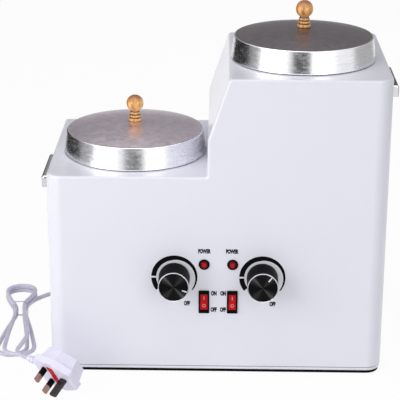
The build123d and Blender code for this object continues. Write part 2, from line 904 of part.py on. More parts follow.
# Thermostats with their nuts, shafts, knobs, caps and pointers
nuts = []
for name, (x, angle) in dials.items():
    spin = Axis((x, front_y, dial_z), (0, -1, 0))
    outward = Plane(origin=(x, front_y, dial_z), x_dir=(1, 0, 0), z_dir=(0, -1, 0))
    section = Plane(origin=(x, front_y, dial_z), x_dir=(0, -1, 0), z_dir=(1, 0, 0))
    shaft_tip = knob_boss_start + shaft_in_knob
    with BuildPart() as thermostat:
        with BuildSketch(outward.offset(-sheet)):
            RectangleRounded(thermostat_size, thermostat_size, thermostat_edge)
        extrude(amount=-thermostat_depth)
        with BuildSketch(outward.offset(-sheet)):
            Circle(bushing_radius)
        extrude(amount=bushing_out + sheet)
        with BuildSketch(outward.offset(bushing_out)):
            Circle(shaft_radius + shaft_running_gap)
        extrude(amount=-bushing_out - shaft_in_thermostat - fit_gap, mode=Mode.SUBTRACT)
    save(thermostat.part, f"{name}_thermostat")

    with BuildPart() as nut:
        with BuildSketch(outward):
            RegularPolygon(nut_across / 2, 6, major_radius=False)
            Circle(bushing_radius + shaft_running_gap, mode=Mode.SUBTRACT)
        extrude(amount=nut_height)
    nuts.append(nut.part)

    with BuildPart() as shaft:
        with BuildSketch(outward.offset(-shaft_in_thermostat)):
            Circle(shaft_radius)
        extrude(amount=shaft_in_thermostat + shaft_tip)
        with BuildSketch(outward.offset(knob_boss_start)):
            with Locations((0, shaft_radius)):
                Rectangle(2 * shaft_radius, 2 * shaft_flat)
        extrude(amount=shaft_in_knob, mode=Mode.SUBTRACT)
        chamfer(shaft.faces().sort_by(spin)[-1].edges(), shaft_chamfer)
    save(shaft.part, f"{name}_shaft")

    cap_face = knob_reach - knob_cap_thickness
    with BuildPart() as knob:
        with BuildSketch(section):
            with BuildLine():
                Polyline(
                    (knob_boss_start, 0),
                    (knob_boss_start, knob_boss_radius),
                    (knob_hollow, knob_boss_radius),
                    (knob_hollow, knob_radius - knob_wall),
                    (knob_gap, knob_radius - knob_wall),
                    (knob_gap, knob_radius),
                    (cap_face, knob_radius - knob_draft),
                    (cap_face, 0),
                    close=True,
                )
            make_face()
        revolve(axis=spin)
        with BuildSketch(outward.offset(knob_boss_start)):
            Circle(shaft_radius + shaft_seat)
            with Locations((0, shaft_radius + shaft_seat)):
                Rectangle(2 * shaft_radius, 2 * shaft_flat, mode=Mode.SUBTRACT)
        extrude(amount=shaft_in_knob + fit_gap, mode=Mode.SUBTRACT)
    save(knob.part, f"{name}_knob")

    pointing = Plane(
        origin=(x, front_y - knob_reach, dial_z),
        x_dir=(cos(radians(angle)), 0, sin(radians(angle))),
        z_dir=(0, -1, 0),
    )
    pointer_centre = knob_radius - knob_draft - knob_bevel - pointer_length / 2
    with BuildPart() as knob_cap:
        with BuildSketch(outward.offset(cap_face)):
            Circle(knob_radius - knob_draft)
        extrude(amount=knob_cap_thickness)
        chamfer(knob_cap.edges().sort_by(spin)[-1], knob_bevel, angle=50)
        with BuildSketch(pointing):
            with Locations((pointer_centre - fit_gap, 0)):
                Rectangle(pointer_length, pointer_width)
        extrude(amount=-pointer_depth, mode=Mode.SUBTRACT)
    save(knob_cap.part, f"{name}_knob_cap")

    with BuildPart() as pointer:
        with BuildSketch(pointing):
            with Locations((pointer_centre - fit_gap, 0)):
                Rectangle(pointer_length, pointer_width)
        extrude(amount=-pointer_depth)
    save(pointer.part, f"{name}_pointer")
save(Compound(children=nuts), "control_nuts")

# Rocker switches: bezel with a hollow body, brass blades and the tilting rocker
blades = []
for name, x in switches.items():
    outward = Plane(origin=(x, front_y, rocker_z), x_dir=(1, 0, 0), z_dir=(0, -1, 0))
    pivot = (x, front_y + rocker_pivot_depth, rocker_z)
    hinge_plane = Plane(origin=pivot, x_dir=(0, -1, 0), z_dir=(1, 0, 0))
    tilt = radians(rocker_angle)
    pressed_plane = Plane(origin=pivot, x_dir=(0, -cos(tilt), sin(tilt)), z_dir=(1, 0, 0))
    crown_end = rocker_crown + 2 * rocker_reach * tan(tilt)
    well_width = rocker_width + 2 * rocker_gap
    well_height = 2 * (rocker_reach + rocker_gap)
    with BuildPart() as switch_body:
        with BuildSketch(outward):
            RectangleRounded(switch_width, switch_height, switch_bezel_radius)
        extrude(amount=switch_bezel)
        fillet(switch_body.faces().sort_by(Axis.Y)[0].edges(), switch_bezel_edge)
        with BuildSketch(outward):
            Rectangle(switch_body_width, switch_body_height)
        extrude(amount=-switch_body_depth)
        with BuildSketch(outward.offset(switch_bezel)):
            Rectangle(well_width, well_height)
        extrude(amount=-switch_bezel - switch_body_depth + 2 * switch_wall, mode=Mode.SUBTRACT)
        with BuildSketch(hinge_plane):
            Circle(trunnion_radius + shaft_running_gap)
        extrude(amount=rocker_width / 2 + trunnion_length + fit_gap, both=True, mode=Mode.SUBTRACT)
    save(switch_body.part, f"{name}_switch_body")

    with BuildPart() as rocker:
        with BuildSketch(pressed_plane):
            Circle(rocker_reach)
            with BuildLine():
                Polyline(
                    (-rocker_back, -2 * rocker_reach),
                    (crown_end, -2 * rocker_reach),
                    (rocker_crown, 0),
                    (crown_end, 2 * rocker_reach),
                    (-rocker_back, 2 * rocker_reach),
                    close=True,
                )
            make_face(mode=Mode.INTERSECT)
        extrude(amount=rocker_width / 2, both=True)
        with BuildSketch(hinge_plane):
            Circle(trunnion_radius)
        extrude(amount=rocker_width / 2 + trunnion_length, both=True)
    save(rocker.part, f"{name}_rocker")

    with BuildPart() as blade_set:
        with BuildSketch(outward.offset(-switch_body_depth)):
            with GridLocations(0, 2 * blade_width, 1, 3):
                Rectangle(blade_width, blade_thickness)
        extrude(amount=-blade_length)
    blades.append(blade_set.part)
save(Compound(children=blades), "switch_blades")

# Indicator lamps: black bezel and barrel with a domed lens pressed into the front
for name, x in switches.items():
    outward = Plane(origin=(x, front_y, lamp_z), x_dir=(1, 0, 0), z_dir=(0, -1, 0))
    section = Plane(origin=(x, front_y, lamp_z), x_dir=(0, -1, 0), z_dir=(1, 0, 0))
    spin = Axis((x, front_y, lamp_z), (0, -1, 0))
    with BuildPart() as bezel:
        with BuildSketch(outward):
            Circle(lamp_radius)
        extrude(amount=lamp_flange)
        fillet(bezel.faces().sort_by(Axis.Y)[0].edges(), lamp_flange_edge)
        with BuildSketch(outward):
            Circle(lamp_barrel_radius)
        extrude(amount=-lamp_barrel_depth)
        with BuildSketch(outward.offset(lamp_flange)):
            Circle(lens_radius)
        extrude(amount=-lens_seat, mode=Mode.SUBTRACT)
    save(bezel.part, f"{name}_lamp_bezel")

    rim = lamp_flange - lens_sunk
    fitted = lens_radius - shaft_seat
    lens_back = lamp_flange - lens_seat
    with BuildPart() as lens:
        with BuildSketch(section):
            with BuildLine():
                TangentArc((rim + lens_height, 0), (rim, fitted), tangent=(0, 1))
                Polyline((rim, fitted), (lens_back, fitted), (lens_back, 0), (rim + lens_height, 0))
            make_face()
        revolve(axis=spin)
    save(lens.part, f"{name}_lamp_lens")

# Thermostat sensors: a bulb under each well floor on a thin capillary tube
sensor_exit = dial_z + thermostat_size / 2 - 2 * thermostat_edge
for (name, (x, deck)), (dial_x, angle) in zip(pots.items(), dials.values()):
    toward = -1 if x < 0 else 1
    bulb_z = deck - pot_depth - well_floor_gap - well_wall - bulb_radius
    bulb_start = x - toward * bulb_length / 2
    exit_y = front_y + sheet + thermostat_depth
    capillary = [
        (dial_x, exit_y, sensor_exit),
        (dial_x, exit_y + thermostat_size, sensor_exit),
        (dial_x, pot_y - bulb_length / 2, bulb_z - 2),
        (dial_x + toward * thermostat_edge, pot_y, bulb_z),
        (bulb_start, pot_y, bulb_z),
    ]
    with BuildPart() as sensor:
        add(tube(capillary, capillary_radius))
        with BuildSketch(Plane(origin=(bulb_start, pot_y, bulb_z), z_dir=(toward, 0, 0))):
            Circle(bulb_radius)
        extrude(amount=bulb_length)
    save(sensor.part, f"{name}_sensor")

# Folded cup handles on the side walls, open underneath, and the screws that hold them
handle_screws = []
for name, (side, handle_z) in handles.items():
    wall_plane = side_plane(side, handle_z)
    with BuildPart() as handle:
        with BuildSketch(wall_plane):
            Rectangle(handle_length, handle_height)
        extrude(amount=handle_reach)
        rims = handle.edges() - handle.faces().sort_by(Axis.Z)[0].edges()
        face_x = side * half_width
        rims = rims.filter_by(lambda e: abs(e.center().X - face_x) > 0.01)
        fillet(rims, handle_corner)
        underside = handle.faces().filter_by(Axis.Z).sort_by(Axis.Z)[0]
        offset(amount=-handle_sheet, openings=underside)
        with BuildSketch(wall_plane):
            with GridLocations(handle_screw_spacing, 1, 2, 1):
                Circle(screw_radius + shaft_seat)
        extrude(amount=2 * handle_sheet, mode=Mode.SUBTRACT)
    save(handle.part, f"{name}_handle")
    for along in (-handle_screw_spacing / 2, handle_screw_spacing / 2):
        head_place = (side * (half_width - sheet), handle_y + along, handle_z)
        head_plane = Plane(origin=head_place, x_dir=(0, 1, 0), z_dir=(-side, 0, 0))
        screw = pan_screw(head_plane, screw_head_radius, screw_radius, sheet + handle_sheet + 1)
        handle_screws.append(screw)
housing_screws = Compound(children=rear_screws.part.solids() + base_screw_set.part.solids() + handle_screws)
save(housing_screws, "housing_screws")

# Terminal block on the base, and the wires from it to the switches and heaters
with BuildPart() as terminal_block:
    with BuildSketch(Plane.XY.offset(base_top)):
        with Locations((block_x, block_y)):
            RectangleRounded(block_length, block_width, 2)
    extrude(amount=block_height)
    with BuildSketch(Plane.XY.offset(base_top + block_height)):
        with Locations((block_x, block_y)):
            with GridLocations(wire_pitch, 0, 4, 1):
                Circle(screw_head_radius)
    extrude(amount=-screw_head_height, mode=Mode.SUBTRACT)
save(terminal_block.part, "terminal_block")

block_top = base_top + block_height - screw_head_height
blade_y = front_y + switch_body_depth + blade_length
ear_side = band_gap / 2 + band_ear_gap / 2
ear_y = pot_y + band_outer + band_ear / 2
wire_ends = [
    [(switches["left"], block_y - wire_turn, rocker_z), (switches["left"], blade_y, rocker_z)],
    [(switches["right"], block_y - wire_turn, rocker_z), (switches["right"], blade_y, rocker_z)],
]
for x, deck in pots.values():
    ear_bottom = deck - band_top - band_height
    wire_ends.append([(x - ear_side, ear_y, ear_bottom - wire_drop), (x - ear_side, ear_y, ear_bottom)])
wires = []
for number, ending in enumerate(wire_ends):
    start_x = block_x + (number - 1.5) * wire_pitch
    start = (start_x, block_y, block_top)
    rise = (start_x, block_y, block_top + wire_rise + wire_stagger * number)
    wires.append(tube([start, rise] + ending, wire_radius))
gland_inner_y = rear_y - gland_inner
block_back = block_y + block_width / 2
wires.append(
    tube(
        [
            (gland_x, gland_inner_y, gland_z),
            (gland_x, gland_inner_y - inner_lead_straight, gland_z),
            (block_x - wire_pitch, block_back + inner_lead_straight, base_top + block_height / 2),
            (block_x - wire_pitch, block_back, base_top + block_height / 2),
        ],
        cord_radius - fit_gap,
    )
)
save(Compound(children=wires), "wiring_harness")

# Gland through the rear cover, with its ribbed sleeve
with BuildPart() as cord_gland:
    with BuildSketch(Plane(origin=(gland_x, rear_y + sheet, gland_z), x_dir=(0, 1, 0), z_dir=(-1, 0, 0))):
        with BuildLine():
            Polyline(
                (-gland_inner - sheet, 0),
                (-gland_inner - sheet, gland_body_radius),
                (0, gland_body_radius),
                (0, gland_flange_radius),
                (gland_flange, gland_flange_radius),
                (gland_flange, 0),
                close=True,
            )
        make_face()
    revolve(axis=Axis((gland_x, rear_y, gland_z), (0, 1, 0)))
    fillet(cord_gland.edges().filter_by(GeomType.CIRCLE).sort_by(Axis.Y)[-1], gland_edge)
    sleeve_start = (gland_x, rear_y + sheet + gland_flange, gland_z)
    add(ribbed_sleeve(sleeve_start, (0, 1, 0), gland_sleeve, gland_body_radius, gland_tip_radius, gland_ribs))
save(cord_gland.part, "cord_gland")

# Mains lead: from the gland down behind the housing, round its left corner and to the hank's waist
sleeve_tip = rear_y + sheet + gland_flange + gland_sleeve
top_level = cord_rest + len(loop_fronts) * cord_step
hank_way = []
for number, (front, fan) in enumerate(zip(loop_fronts, loop_fans)):
    hank_way += hank_loop(front, fan, cord_rest + number * cord_step)
hank_way.append(lay(exit_at, exit_half_width, top_level))
hank_entry = [lay(along, across, cord_rest + lift) for along, across, lift in entry_way]
split_low = middle(hank_entry[-1], hank_way[0])
lead_points = [(gland_x, sleeve_tip, gland_z), (gland_x, sleeve_tip + sleeve_straight, gland_z)]
lead_points += beside(lead_way, rear_y) + hank_entry + [split_low]
mains_lead = tube(lead_points, cord_radius)
save(mains_lead, "mains_lead")

# Hank: two loops and a last strand drawn in at a tied waist, each loop lying on the one below
plug_way_points = beside(plug_way, front_y)
split_high = middle(hank_way[-1], plug_way_points[0])
hank_points = [split_low] + hank_way + [split_high]
cord_hank = tube(hank_points, cord_radius)
save(cord_hank, "cord_hank")

# Thin tie round the waist of the hank
tie_half_width = waist_half_width + cord_radius + tie_gap
tie_height = top_level + waist_lift + cord_radius + tie_wall + fit_gap - tie_low
tie_place = lay(waist_at, 0, tie_low + tie_height / 2)
tie_side = Vector(*lay(waist_at, 1, 0)) - Vector(*lay(waist_at, 0, 0))
with BuildPart() as cord_tie:
    with BuildSketch(Plane(origin=tie_place, x_dir=tie_side, z_dir=Vector(*lay(1, 0, 0)) - Vector(*lay(0, 0, 0)))):
        RectangleRounded(2 * (tie_half_width + tie_wall), tie_height, cord_radius + tie_wall)
        RectangleRounded(2 * tie_half_width, tie_height - 2 * tie_wall, cord_radius, mode=Mode.SUBTRACT)
    extrude(amount=tie_width / 2, both=True)
save(cord_tie.part, "cord_tie")

# Plug lying on its flange and pin tips, drawn in the plane of its pin face
turn = radians(plug_turn)
drop = radians(plug_tilt)
plug_place = (plug_from_side - half_width, front_y + plug_front, plug_half_width * cos(drop))
pin_side = (cos(turn), -sin(turn), 0)
pin_way = (-sin(turn) * cos(drop), -cos(turn) * cos(drop), -sin(drop))
pin_plane = Plane(origin=plug_place, x_dir=pin_side, z_dir=pin_way)
pins = [(0, -pin_offset, pin_thickness, pin_width), (0, pin_offset, pin_thickness, pin_width)]
with BuildPart() as plug_body:
    for inset, level, thickness in ((0, 0, plug_flange), (plug_grip_inset, -plug_flange, plug_grip)):
        with BuildSketch(pin_plane.offset(level)) as plug_face:
            with BuildLine():
                Polyline(
                    (-plug_cable_end, plug_half_width - plug_corner),
                    (-plug_cable_end + plug_corner, plug_half_width),
                    (plug_shoulder, plug_half_width),
                    (plug_earth_end, plug_nose_half_width),
                    (plug_earth_end, -plug_nose_half_width),
                    (plug_shoulder, -plug_half_width),
                    (-plug_cable_end + plug_corner, -plug_half_width),
                    (-plug_cable_end, -plug_half_width + plug_corner),
                    close=True,
                )
            make_face()
            fillet(plug_face.vertices(), plug_edge)
            if inset:
                offset(amount=-inset)
        extrude(amount=-thickness, taper=plug_taper if inset else 0)
    fillet(plug_body.faces().sort_by(Axis(plug_place, pin_way))[0].edges(), plug_edge)
    with BuildSketch(pin_plane):
        with Locations((fuse_place, 0)):
            Rectangle(fuse_width + fit_gap, fuse_length + fit_gap)
    extrude(amount=-fuse_depth, mode=Mode.SUBTRACT)
    with BuildSketch(pin_plane):
        for x, y, thickness, breadth in pins + [(earth_offset, 0, earth_width, pin_thickness)]:
            with Locations((x, y)):
                Rectangle(thickness + shaft_seat, breadth + shaft_seat)
    extrude(amount=-pin_root, mode=Mode.SUBTRACT)
save(plug_body.part, "plug_body")

with BuildPart() as plug_line_pins:
    with BuildSketch(pin_plane.offset(-pin_root)):
        for x, y, thickness, breadth in pins:
            with Locations((x, y)):
                Rectangle(thickness, breadth)
    extrude(amount=pin_root + pin_length)
    with BuildSketch(pin_plane):
        for x, y, thickness, breadth in pins:
            with Locations((x, y)):
                Rectangle(thickness, breadth)
                Rectangle(thickness - 2 * pin_sleeve_wall, breadth - 2 * pin_sleeve_wall, mode=Mode.SUBTRACT)
    extrude(amount=pin_sleeve_length, mode=Mode.SUBTRACT)
    tips = plug_line_pins.faces().sort_by(Axis(plug_place, pin_way))[-2:]
    chamfer(tips.edges(), pin_chamfer)
save(plug_line_pins.part, "plug_line_pins")

with BuildPart() as plug_pin_sleeves:
    with BuildSketch(pin_plane):
        for x, y, thickness, breadth in pins:
            with Locations((x, y)):
                Rectangle(thickness, breadth)
                Rectangle(thickness - 2 * pin_sleeve_wall, breadth - 2 * pin_sleeve_wall, mode=Mode.SUBTRACT)
    extrude(amount=pin_sleeve_length)
save(plug_pin_sleeves.part, "plug_pin_sleeves")

with BuildPart() as plug_earth_pin:
    with BuildSketch(pin_plane.offset(-pin_root)):
        with Locations((earth_offset, 0)):
            Rectangle(earth_width, pin_thickness)
    extrude(amount=pin_root + earth_length)
    chamfer(plug_earth_pin.faces().sort_by(Axis(plug_place, pin_way))[-1].edges(), earth_chamfer)
save(plug_earth_pin.part, "plug_earth_pin")

with BuildPart() as fuse_carrier:
    with BuildSketch(pin_plane.offset(-fuse_depth)):
        with Locations((fuse_place, 0)):
            Rectangle(fuse_width, fuse_length)
    extrude(amount=fuse_depth + fuse_proud)
    fillet(fuse_carrier.faces().sort_by(Axis(plug_place, pin_way))[-1].edges(), fuse_edge)
save(fuse_carrier.part, "fuse_carrier")

cable_root = Vector(*plug_place) - Vector(*pin_side) * plug_cable_end - Vector(*pin_way) * plug_cable_depth
cable_way = Vector(*pin_side) * -1
plug_sleeve = ribbed_sleeve(
    tuple(cable_root), tuple(cable_way), plug_sleeve_length, plug_sleeve_radius, plug_sleeve_tip, plug_ribs
)
save(plug_sleeve, "plug_sleeve")

# Plug lead: from the top of the hank down its front and round to the plug
sleeve_end = cable_root + cable_way * plug_sleeve_length
before_plug = sleeve_end + cable_way * plug_run
plug_points = [split_high] + plug_way_points + [tuple(before_plug), tuple(sleeve_end)]
plug_lead = tube(plug_points, cord_radius)
save(plug_lead, "plug_lead")

lead_path = report_tube("mains lead", lead_points, mains_lead)
hank_path = report_tube("hank", hank_points, cord_hank)
plug_path = report_tube("plug lead", plug_points, plug_lead)
cord_length = lead_path.length + hank_path.length + plug_path.length
print(f"cord in all {cord_length:.0f} mm, hank's least gap to itself {least_gap(hank_path):.2f} mm")
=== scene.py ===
"""Double wax warmer: looks for the CAD frame, laid out as a Blender add-on."""

import json
from math import atan, atan2, cos, degrees, pi, radians, sin, sqrt

import bmesh
import bpy
from bpy.props import FloatProperty, FloatVectorProperty, IntProperty, PointerProperty
from mathutils import Matrix, Vector


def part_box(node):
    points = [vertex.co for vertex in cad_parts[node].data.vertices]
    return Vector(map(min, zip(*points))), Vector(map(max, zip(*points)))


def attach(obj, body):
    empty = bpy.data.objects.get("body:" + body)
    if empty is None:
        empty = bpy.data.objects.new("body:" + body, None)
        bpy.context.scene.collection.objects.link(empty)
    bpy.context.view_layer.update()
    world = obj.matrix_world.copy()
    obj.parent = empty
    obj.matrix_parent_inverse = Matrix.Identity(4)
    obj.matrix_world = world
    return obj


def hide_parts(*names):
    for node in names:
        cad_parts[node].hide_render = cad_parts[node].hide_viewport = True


bl_info = {
    "name": "Double wax warmer",
    "version": (1, 0, 0),
    "blender": (4, 5, 0),
    "location": "3D View > Sidebar > Warmer",
    "description": "Finishes and detail pieces for a double wax warmer",
    "category": "Object",
}

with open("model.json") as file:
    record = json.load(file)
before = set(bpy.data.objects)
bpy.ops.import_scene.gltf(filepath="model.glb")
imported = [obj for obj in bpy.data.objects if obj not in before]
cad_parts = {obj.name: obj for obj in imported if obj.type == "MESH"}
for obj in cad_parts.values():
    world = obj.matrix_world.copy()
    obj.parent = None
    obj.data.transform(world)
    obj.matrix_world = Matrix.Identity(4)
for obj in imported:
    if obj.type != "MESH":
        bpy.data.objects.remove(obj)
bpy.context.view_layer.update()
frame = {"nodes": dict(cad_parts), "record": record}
NODES = frame["nodes"]
SLOTS = {part["node"]: part["material_slot"] for part in frame["record"]["subparts"]}
BODIES = {node: body for body, nodes in frame["record"]["behaviour"]["bodies"].items() for node in nodes}
MM = 0.001
SIDES = ("left", "right")
DECKS = ("low", "high")

# Directions, and the plane of the front panel
RIGHT = Vector((1, 0, 0))
UP = Vector((0, 0, 1))
OUTWARD = Vector((0, -1, 0))
PANEL_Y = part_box("front_wrap")[0][1]


def span(node):
    """Lowest corner, highest corner and centre of a CAD node's box."""
    low, high = (Vector(corner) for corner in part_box(node))
    return low, high, (low + high) / 2


def colour_value(name, description, default):
    return FloatVectorProperty(name=name, description=description, default=default, subtype="COLOR")


def power_value(name, description, default):
    return FloatProperty(name=name, description=description, default=default, min=0, unit="POWER")


def angle_value(name, description, default):
    return FloatProperty(name=name, description=description, default=radians(default), subtype="ANGLE")


def size_value(name, description, default):
    return FloatProperty(name=name, description=description, default=default * MM, unit="LENGTH")


class WARMER_PG_camera(bpy.types.PropertyGroup):
    """Where the photograph was taken from."""

    lens: FloatProperty(name="Lens", description="Focal length on a 36 mm sensor", default=130.41)
    place: FloatVectorProperty(
        name="Place",
        description="Camera place",
        default=(0.00388, -1.6023, 0.75313),
        subtype="TRANSLATION",
    )
    pitch: angle_value("Pitch", "Tilt below level", 19.8069)
    yaw: angle_value("Yaw", "Turn to the right", -0.8715)
    roll: angle_value("Roll", "Roll of the frame", -0.2737)


class WARMER_PG_light(bpy.types.PropertyGroup):
    """Soft studio light and floor."""

    world: FloatProperty(name="World", description="Strength of the even light", default=0.3, min=0)
    key: power_value("Key", "Lamp at the left", 13.6)
    fill: power_value("Fill", "Tall lamp at the front right", 5.0)
    top: power_value("Top", "Lamp above the decks", 5.3)
    back: power_value("Back", "Lamp behind on the right", 6.0)
    floor: colour_value("Floor", "Colour of the floor", (0.93, 0.93, 0.94))
    floor_white: FloatProperty(
        name="Floor white",
        description="Share of plain white in the floor as eye and metal see it",
        default=0.95,
    )


class WARMER_PG_colours(bpy.types.PropertyGroup):
    """Colours of the visible finishes."""

    enamel: colour_value("Enamel", "White housing paint", (0.82, 0.815, 0.895))
    lid_top: colour_value("Lid top", "Brushed crown of the lids", (0.86, 0.76, 0.84))
    lid_rim: colour_value("Lid rim", "Polished skirt of the lids", (0.88, 0.88, 0.91))
    wood: colour_value("Wood", "Varnished wood of the pulls", (0.80, 0.45, 0.13))
    black: colour_value("Black", "Knobs, switch frames, base and print", (0.004, 0.004, 0.0045))
    red: colour_value("Red", "Rockers and fuse carrier", (0.6, 0.008, 0.014))
    # The lead is the white of the plug painted darker: painted shade of the shadowed cord.
    lead: colour_value("Lead", "White cord and plug", (0.62, 0.6, 0.72))


class WARMER_PG_sizes(bpy.types.PropertyGroup):
    """Sizes of the detail that the frame doesn't hold, in millimetres where they are given."""

    cord: size_value("Cord", "Diameter of the lead", 5.2)
    band_radius: size_value("Dial band", "Outer radius of the printed band", 26)
    band_wide: size_value("Band start", "Width where the band is widest", 5.6)
    band_thin: size_value("Band end", "Width where the band runs out", 1.3)
    ink: size_value("Ink", "Thickness of the print", 0.08)
    # The seam is a black strip, a painted shadow of the gap above the base.
    seam: size_value("Base seam", "Height of the dark line above the base", 0.8)
    spin_steps: IntProperty(
        name="Steps", description="Steps of a turned lid or knob, twice those of a pull", default=128, min=16
    )


class Channel:
    """A value that varies. Sums written with it add their Math nodes."""

    def __init__(self, nodes, socket):
        self.nodes = nodes
        self.socket = socket

    def sum(self, operation, first, second):
        return self.nodes.node("ShaderNodeMath", {"operation": operation}, {0: first, 1: second})

    def __add__(self, other):
        return self.sum("ADD", self, other)

    def __radd__(self, other):
        return self.sum("ADD", other, self)

    def __mul__(self, other):
        return self.sum("MULTIPLY", self, other)

    def __rmul__(self, other):
        return self.sum("MULTIPLY", other, self)

    def __pow__(self, other):
        return self.sum("POWER", self, other)


class Nodes:
    """A node tree to which nodes are added by type, settings and the values or links of sockets."""

    def __init__(self, holder):
        holder.use_nodes = True
        self.tree = holder.node_tree

    def node(self, kind, settings=None, inputs=None, output=0):
        """Adds a node and gives one of its outputs as a channel."""
        made = self.tree.nodes.new(kind)
        for setting, value in (settings or {}).items():
            setattr(made, setting, value)
        for socket, value in (inputs or {}).items():
            if isinstance(value, Channel):
                self.tree.links.new(value.socket, made.inputs[socket])
            else:
                made.inputs[socket].default_value = value
        return Channel(self, made.outputs[output])

    def seen(self):
        """1 for what the eye, metal and glass see directly, 0 for light that falls on things."""
        rays = [f"Is {kind} Ray" for kind in ("Camera", "Glossy", "Transmission")]
        camera, glossy, transmission = (self.node("ShaderNodeLightPath", output=ray) for ray in rays)
        return camera.sum("MAXIMUM", camera.sum("MAXIMUM", camera, glossy), transmission)

    def show(self, channel, output):
        """Links a shader to the tree's output node."""
        self.tree.links.new(channel.socket, self.tree.nodes[output].inputs["Surface"])


class Finish(Nodes):
    """A material whose shader sockets are constants until a channel is fed to them."""

    def __init__(self, name, colour, roughness, **constants):
        self.material = bpy.data.materials.new(name)
        super().__init__(self.material)
        self.shader = self.tree.nodes["Principled BSDF"]
        self.shader.inputs["Base Color"].default_value = (*colour, 1)
        self.shader.inputs["Roughness"].default_value = roughness
        for socket, value in constants.items():
            self.shader.inputs[socket.replace("_", " ")].default_value = value
        self.material.diffuse_color = (*colour, 1)

    def feed(self, socket, channel):
        """Drives one of the shader's sockets by a channel."""
        self.tree.links.new(channel.socket, self.shader.inputs[socket])

    def place(self, centre=(0, 0, 0), scale=(1, 1, 1)):
        """Object coordinates counted from a centre, stretched by a scale."""
        where = self.node("ShaderNodeTexCoord", output="Object")
        moved = self.node("ShaderNodeVectorMath", {"operation": "SUBTRACT"}, {0: where, 1: centre})
        return self.node("ShaderNodeVectorMath", {"operation": "MULTIPLY"}, {0: moved, 1: scale})

    def along(self, where, axis):
        """One axis of a place."""
        return self.node("ShaderNodeSeparateXYZ", None, {0: where}, output=axis)

    def noise(self, where, scale, detail=2.0, roughness=0.5):
        values = {"Vector": where, "Scale": scale, "Detail": detail, "Roughness": roughness}
        return self.node("ShaderNodeTexNoise", None, values)

    def rings(self, where, axis, scale, distortion, detail, detail_scale=1.0):
        """Fine turned grooves round an axis."""
        kind = {"wave_type": "RINGS", "rings_direction": axis}
        values = {"Vector": where, "Scale": scale, "Distortion": distortion, "Detail": detail}
        return self.node("ShaderNodeTexWave", kind, values | {"Detail Scale": detail_scale})

    def spread(self, channel, start, end, low=0.0, high=1.0):
        """The channel's stretch from start to end spread over low to high, and held outside it."""
        return self.node(
            "ShaderNodeMapRange",
            {"interpolation_type": "SMOOTHSTEP"},
            {"Value": channel, "From Min": start, "From Max": end, "To Min": low, "To Max": high},
        )

    def mix(self, mask, first, second):
        """First colour where the mask is 0, second where it is 1."""
        first = first if isinstance(first, Channel) else (*first, 1)
        second = second if isinstance(second, Channel) else (*second, 1)
        values = {0: mask, 6: first, 7: second}
        return self.node("ShaderNodeMix", {"data_type": "RGBA"}, values, output=2)

    def paint(self, mask, first, second):
        """Gives the base colour: the first where the mask is 0, the second where it is 1."""
        self.feed("Base Color", self.mix(mask, first, second))

    def roughen(self, channel, start, end, low, high):
        """Lets the roughness follow a channel."""
        self.feed("Roughness", self.spread(channel, start, end, low, high))

    def bump(self, height, distance, strength=1.0):
        values = {"Height": height, "Distance": distance, "Strength": strength}
        self.feed("Normal", self.node("ShaderNodeBump", None, values))


# Plain finishes by slot: colour and roughness. The gland is this much brighter than the lead, whose colour
# is painted darker as painted shade.
HANDLE_STEEL = ((0.72, 0.71, 0.74), 0.16)
METALS = {
    "screw_steel": ((0.6, 0.61, 0.63), 0.3),
    "pot_aluminium": ((0.74, 0.74, 0.76), 0.3),
    "heater_band": ((0.45, 0.45, 0.46), 0.35),
    "copper_sensor": ((0.78, 0.42, 0.28), 0.3),
    "polished_cap": ((0.86, 0.86, 0.88), 0.12),
    # The brass is darkened far below its own colour: a painted dark reflection.
    "brass": ((0.36, 0.22, 0.19), 0.2),
    "handle_steel": HANDLE_STEEL,
}
PLASTICS = {
    "rubber_feet": ((0.02, 0.02, 0.02), 0.7),
    "white_print": ((0.86, 0.86, 0.86), 0.4),
    "red_lens": ((0.3, 0.004, 0.01), 0.15),
    "wire_pvc": ((0.45, 0.16, 0.08), 0.5),
}
GLAND_BRIGHTER = 1.38


def shade(colour, factor):
    """A colour made darker or lighter."""
    return tuple(part * factor for part in colour)


def enamel_finish(name):
    """Gloss white paint with a faint orange peel."""
    colour = bpy.context.scene.warmer_colours.enamel
    finish = Finish(name, colour, roughness=0.3, Coat_Weight=0.35, Coat_Roughness=0.12)
    where = finish.place()
    peel = finish.noise(where, scale=420, detail=3)
    patches = finish.noise(where, scale=9)
    finish.paint(patches, shade(colour, 0.985), shade(colour, 1.01))
    finish.bump(peel, distance=0.00012, strength=0.2)
    return finish.material


def spun_top_finish(name, centre, tone):
    """Brushed crown of a lid: fine turned rings and a few scuffs."""
    # The tone scales the crown's colour; the high lid's low tone is a painted dark reflection.
    colour = shade(bpy.context.scene.warmer_colours.lid_top, tone)
    finish = Finish(name, colour, roughness=0.34, Metallic=1.0)
    where = finish.place(centre)
    rings = finish.rings(where, "Z", scale=260, distortion=1.5, detail=3, detail_scale=2.0)
    clouds = finish.noise(where, scale=110, detail=5, roughness=0.7)
    scuffs = finish.noise(finish.place(centre, (1, 3.5, 1)), scale=160, detail=3)
    worn = finish.spread(clouds * 0.55 + scuffs * 0.45, 0.36, 0.64)
    finish.paint(worn, shade(colour, 0.86), shade(colour, 1.06))
    finish.roughen(scuffs, 0.35, 0.65, low=0.30, high=0.4)
    finish.bump(rings * 0.5 + scuffs * 0.5, distance=0.00006, strength=0.15)
    return finish.material


def spun_rim_finish(name, centre):
    """Polished skirt of a lid with fine lines round it."""
    colour = bpy.context.scene.warmer_colours.lid_rim
    finish = Finish(name, colour, roughness=0.26, Metallic=1.0)
    lines = finish.noise(finish.place(centre, (1, 1, 22)), scale=48, detail=3, roughness=0.6)
    stains = finish.noise(finish.place(centre, (1, 1, 2.2)), scale=110, detail=4, roughness=0.65)
    worn = finish.spread(lines * 0.6 + stains * 0.4, 0.42, 0.68)
    finish.paint(worn, colour, shade(colour, 0.86))
    finish.roughen(stains, 0.35, 0.7, low=0.21, high=0.31)
    finish.bump(lines * 0.7 + stains * 0.3, distance=0.00005, strength=0.25)
    return finish.material


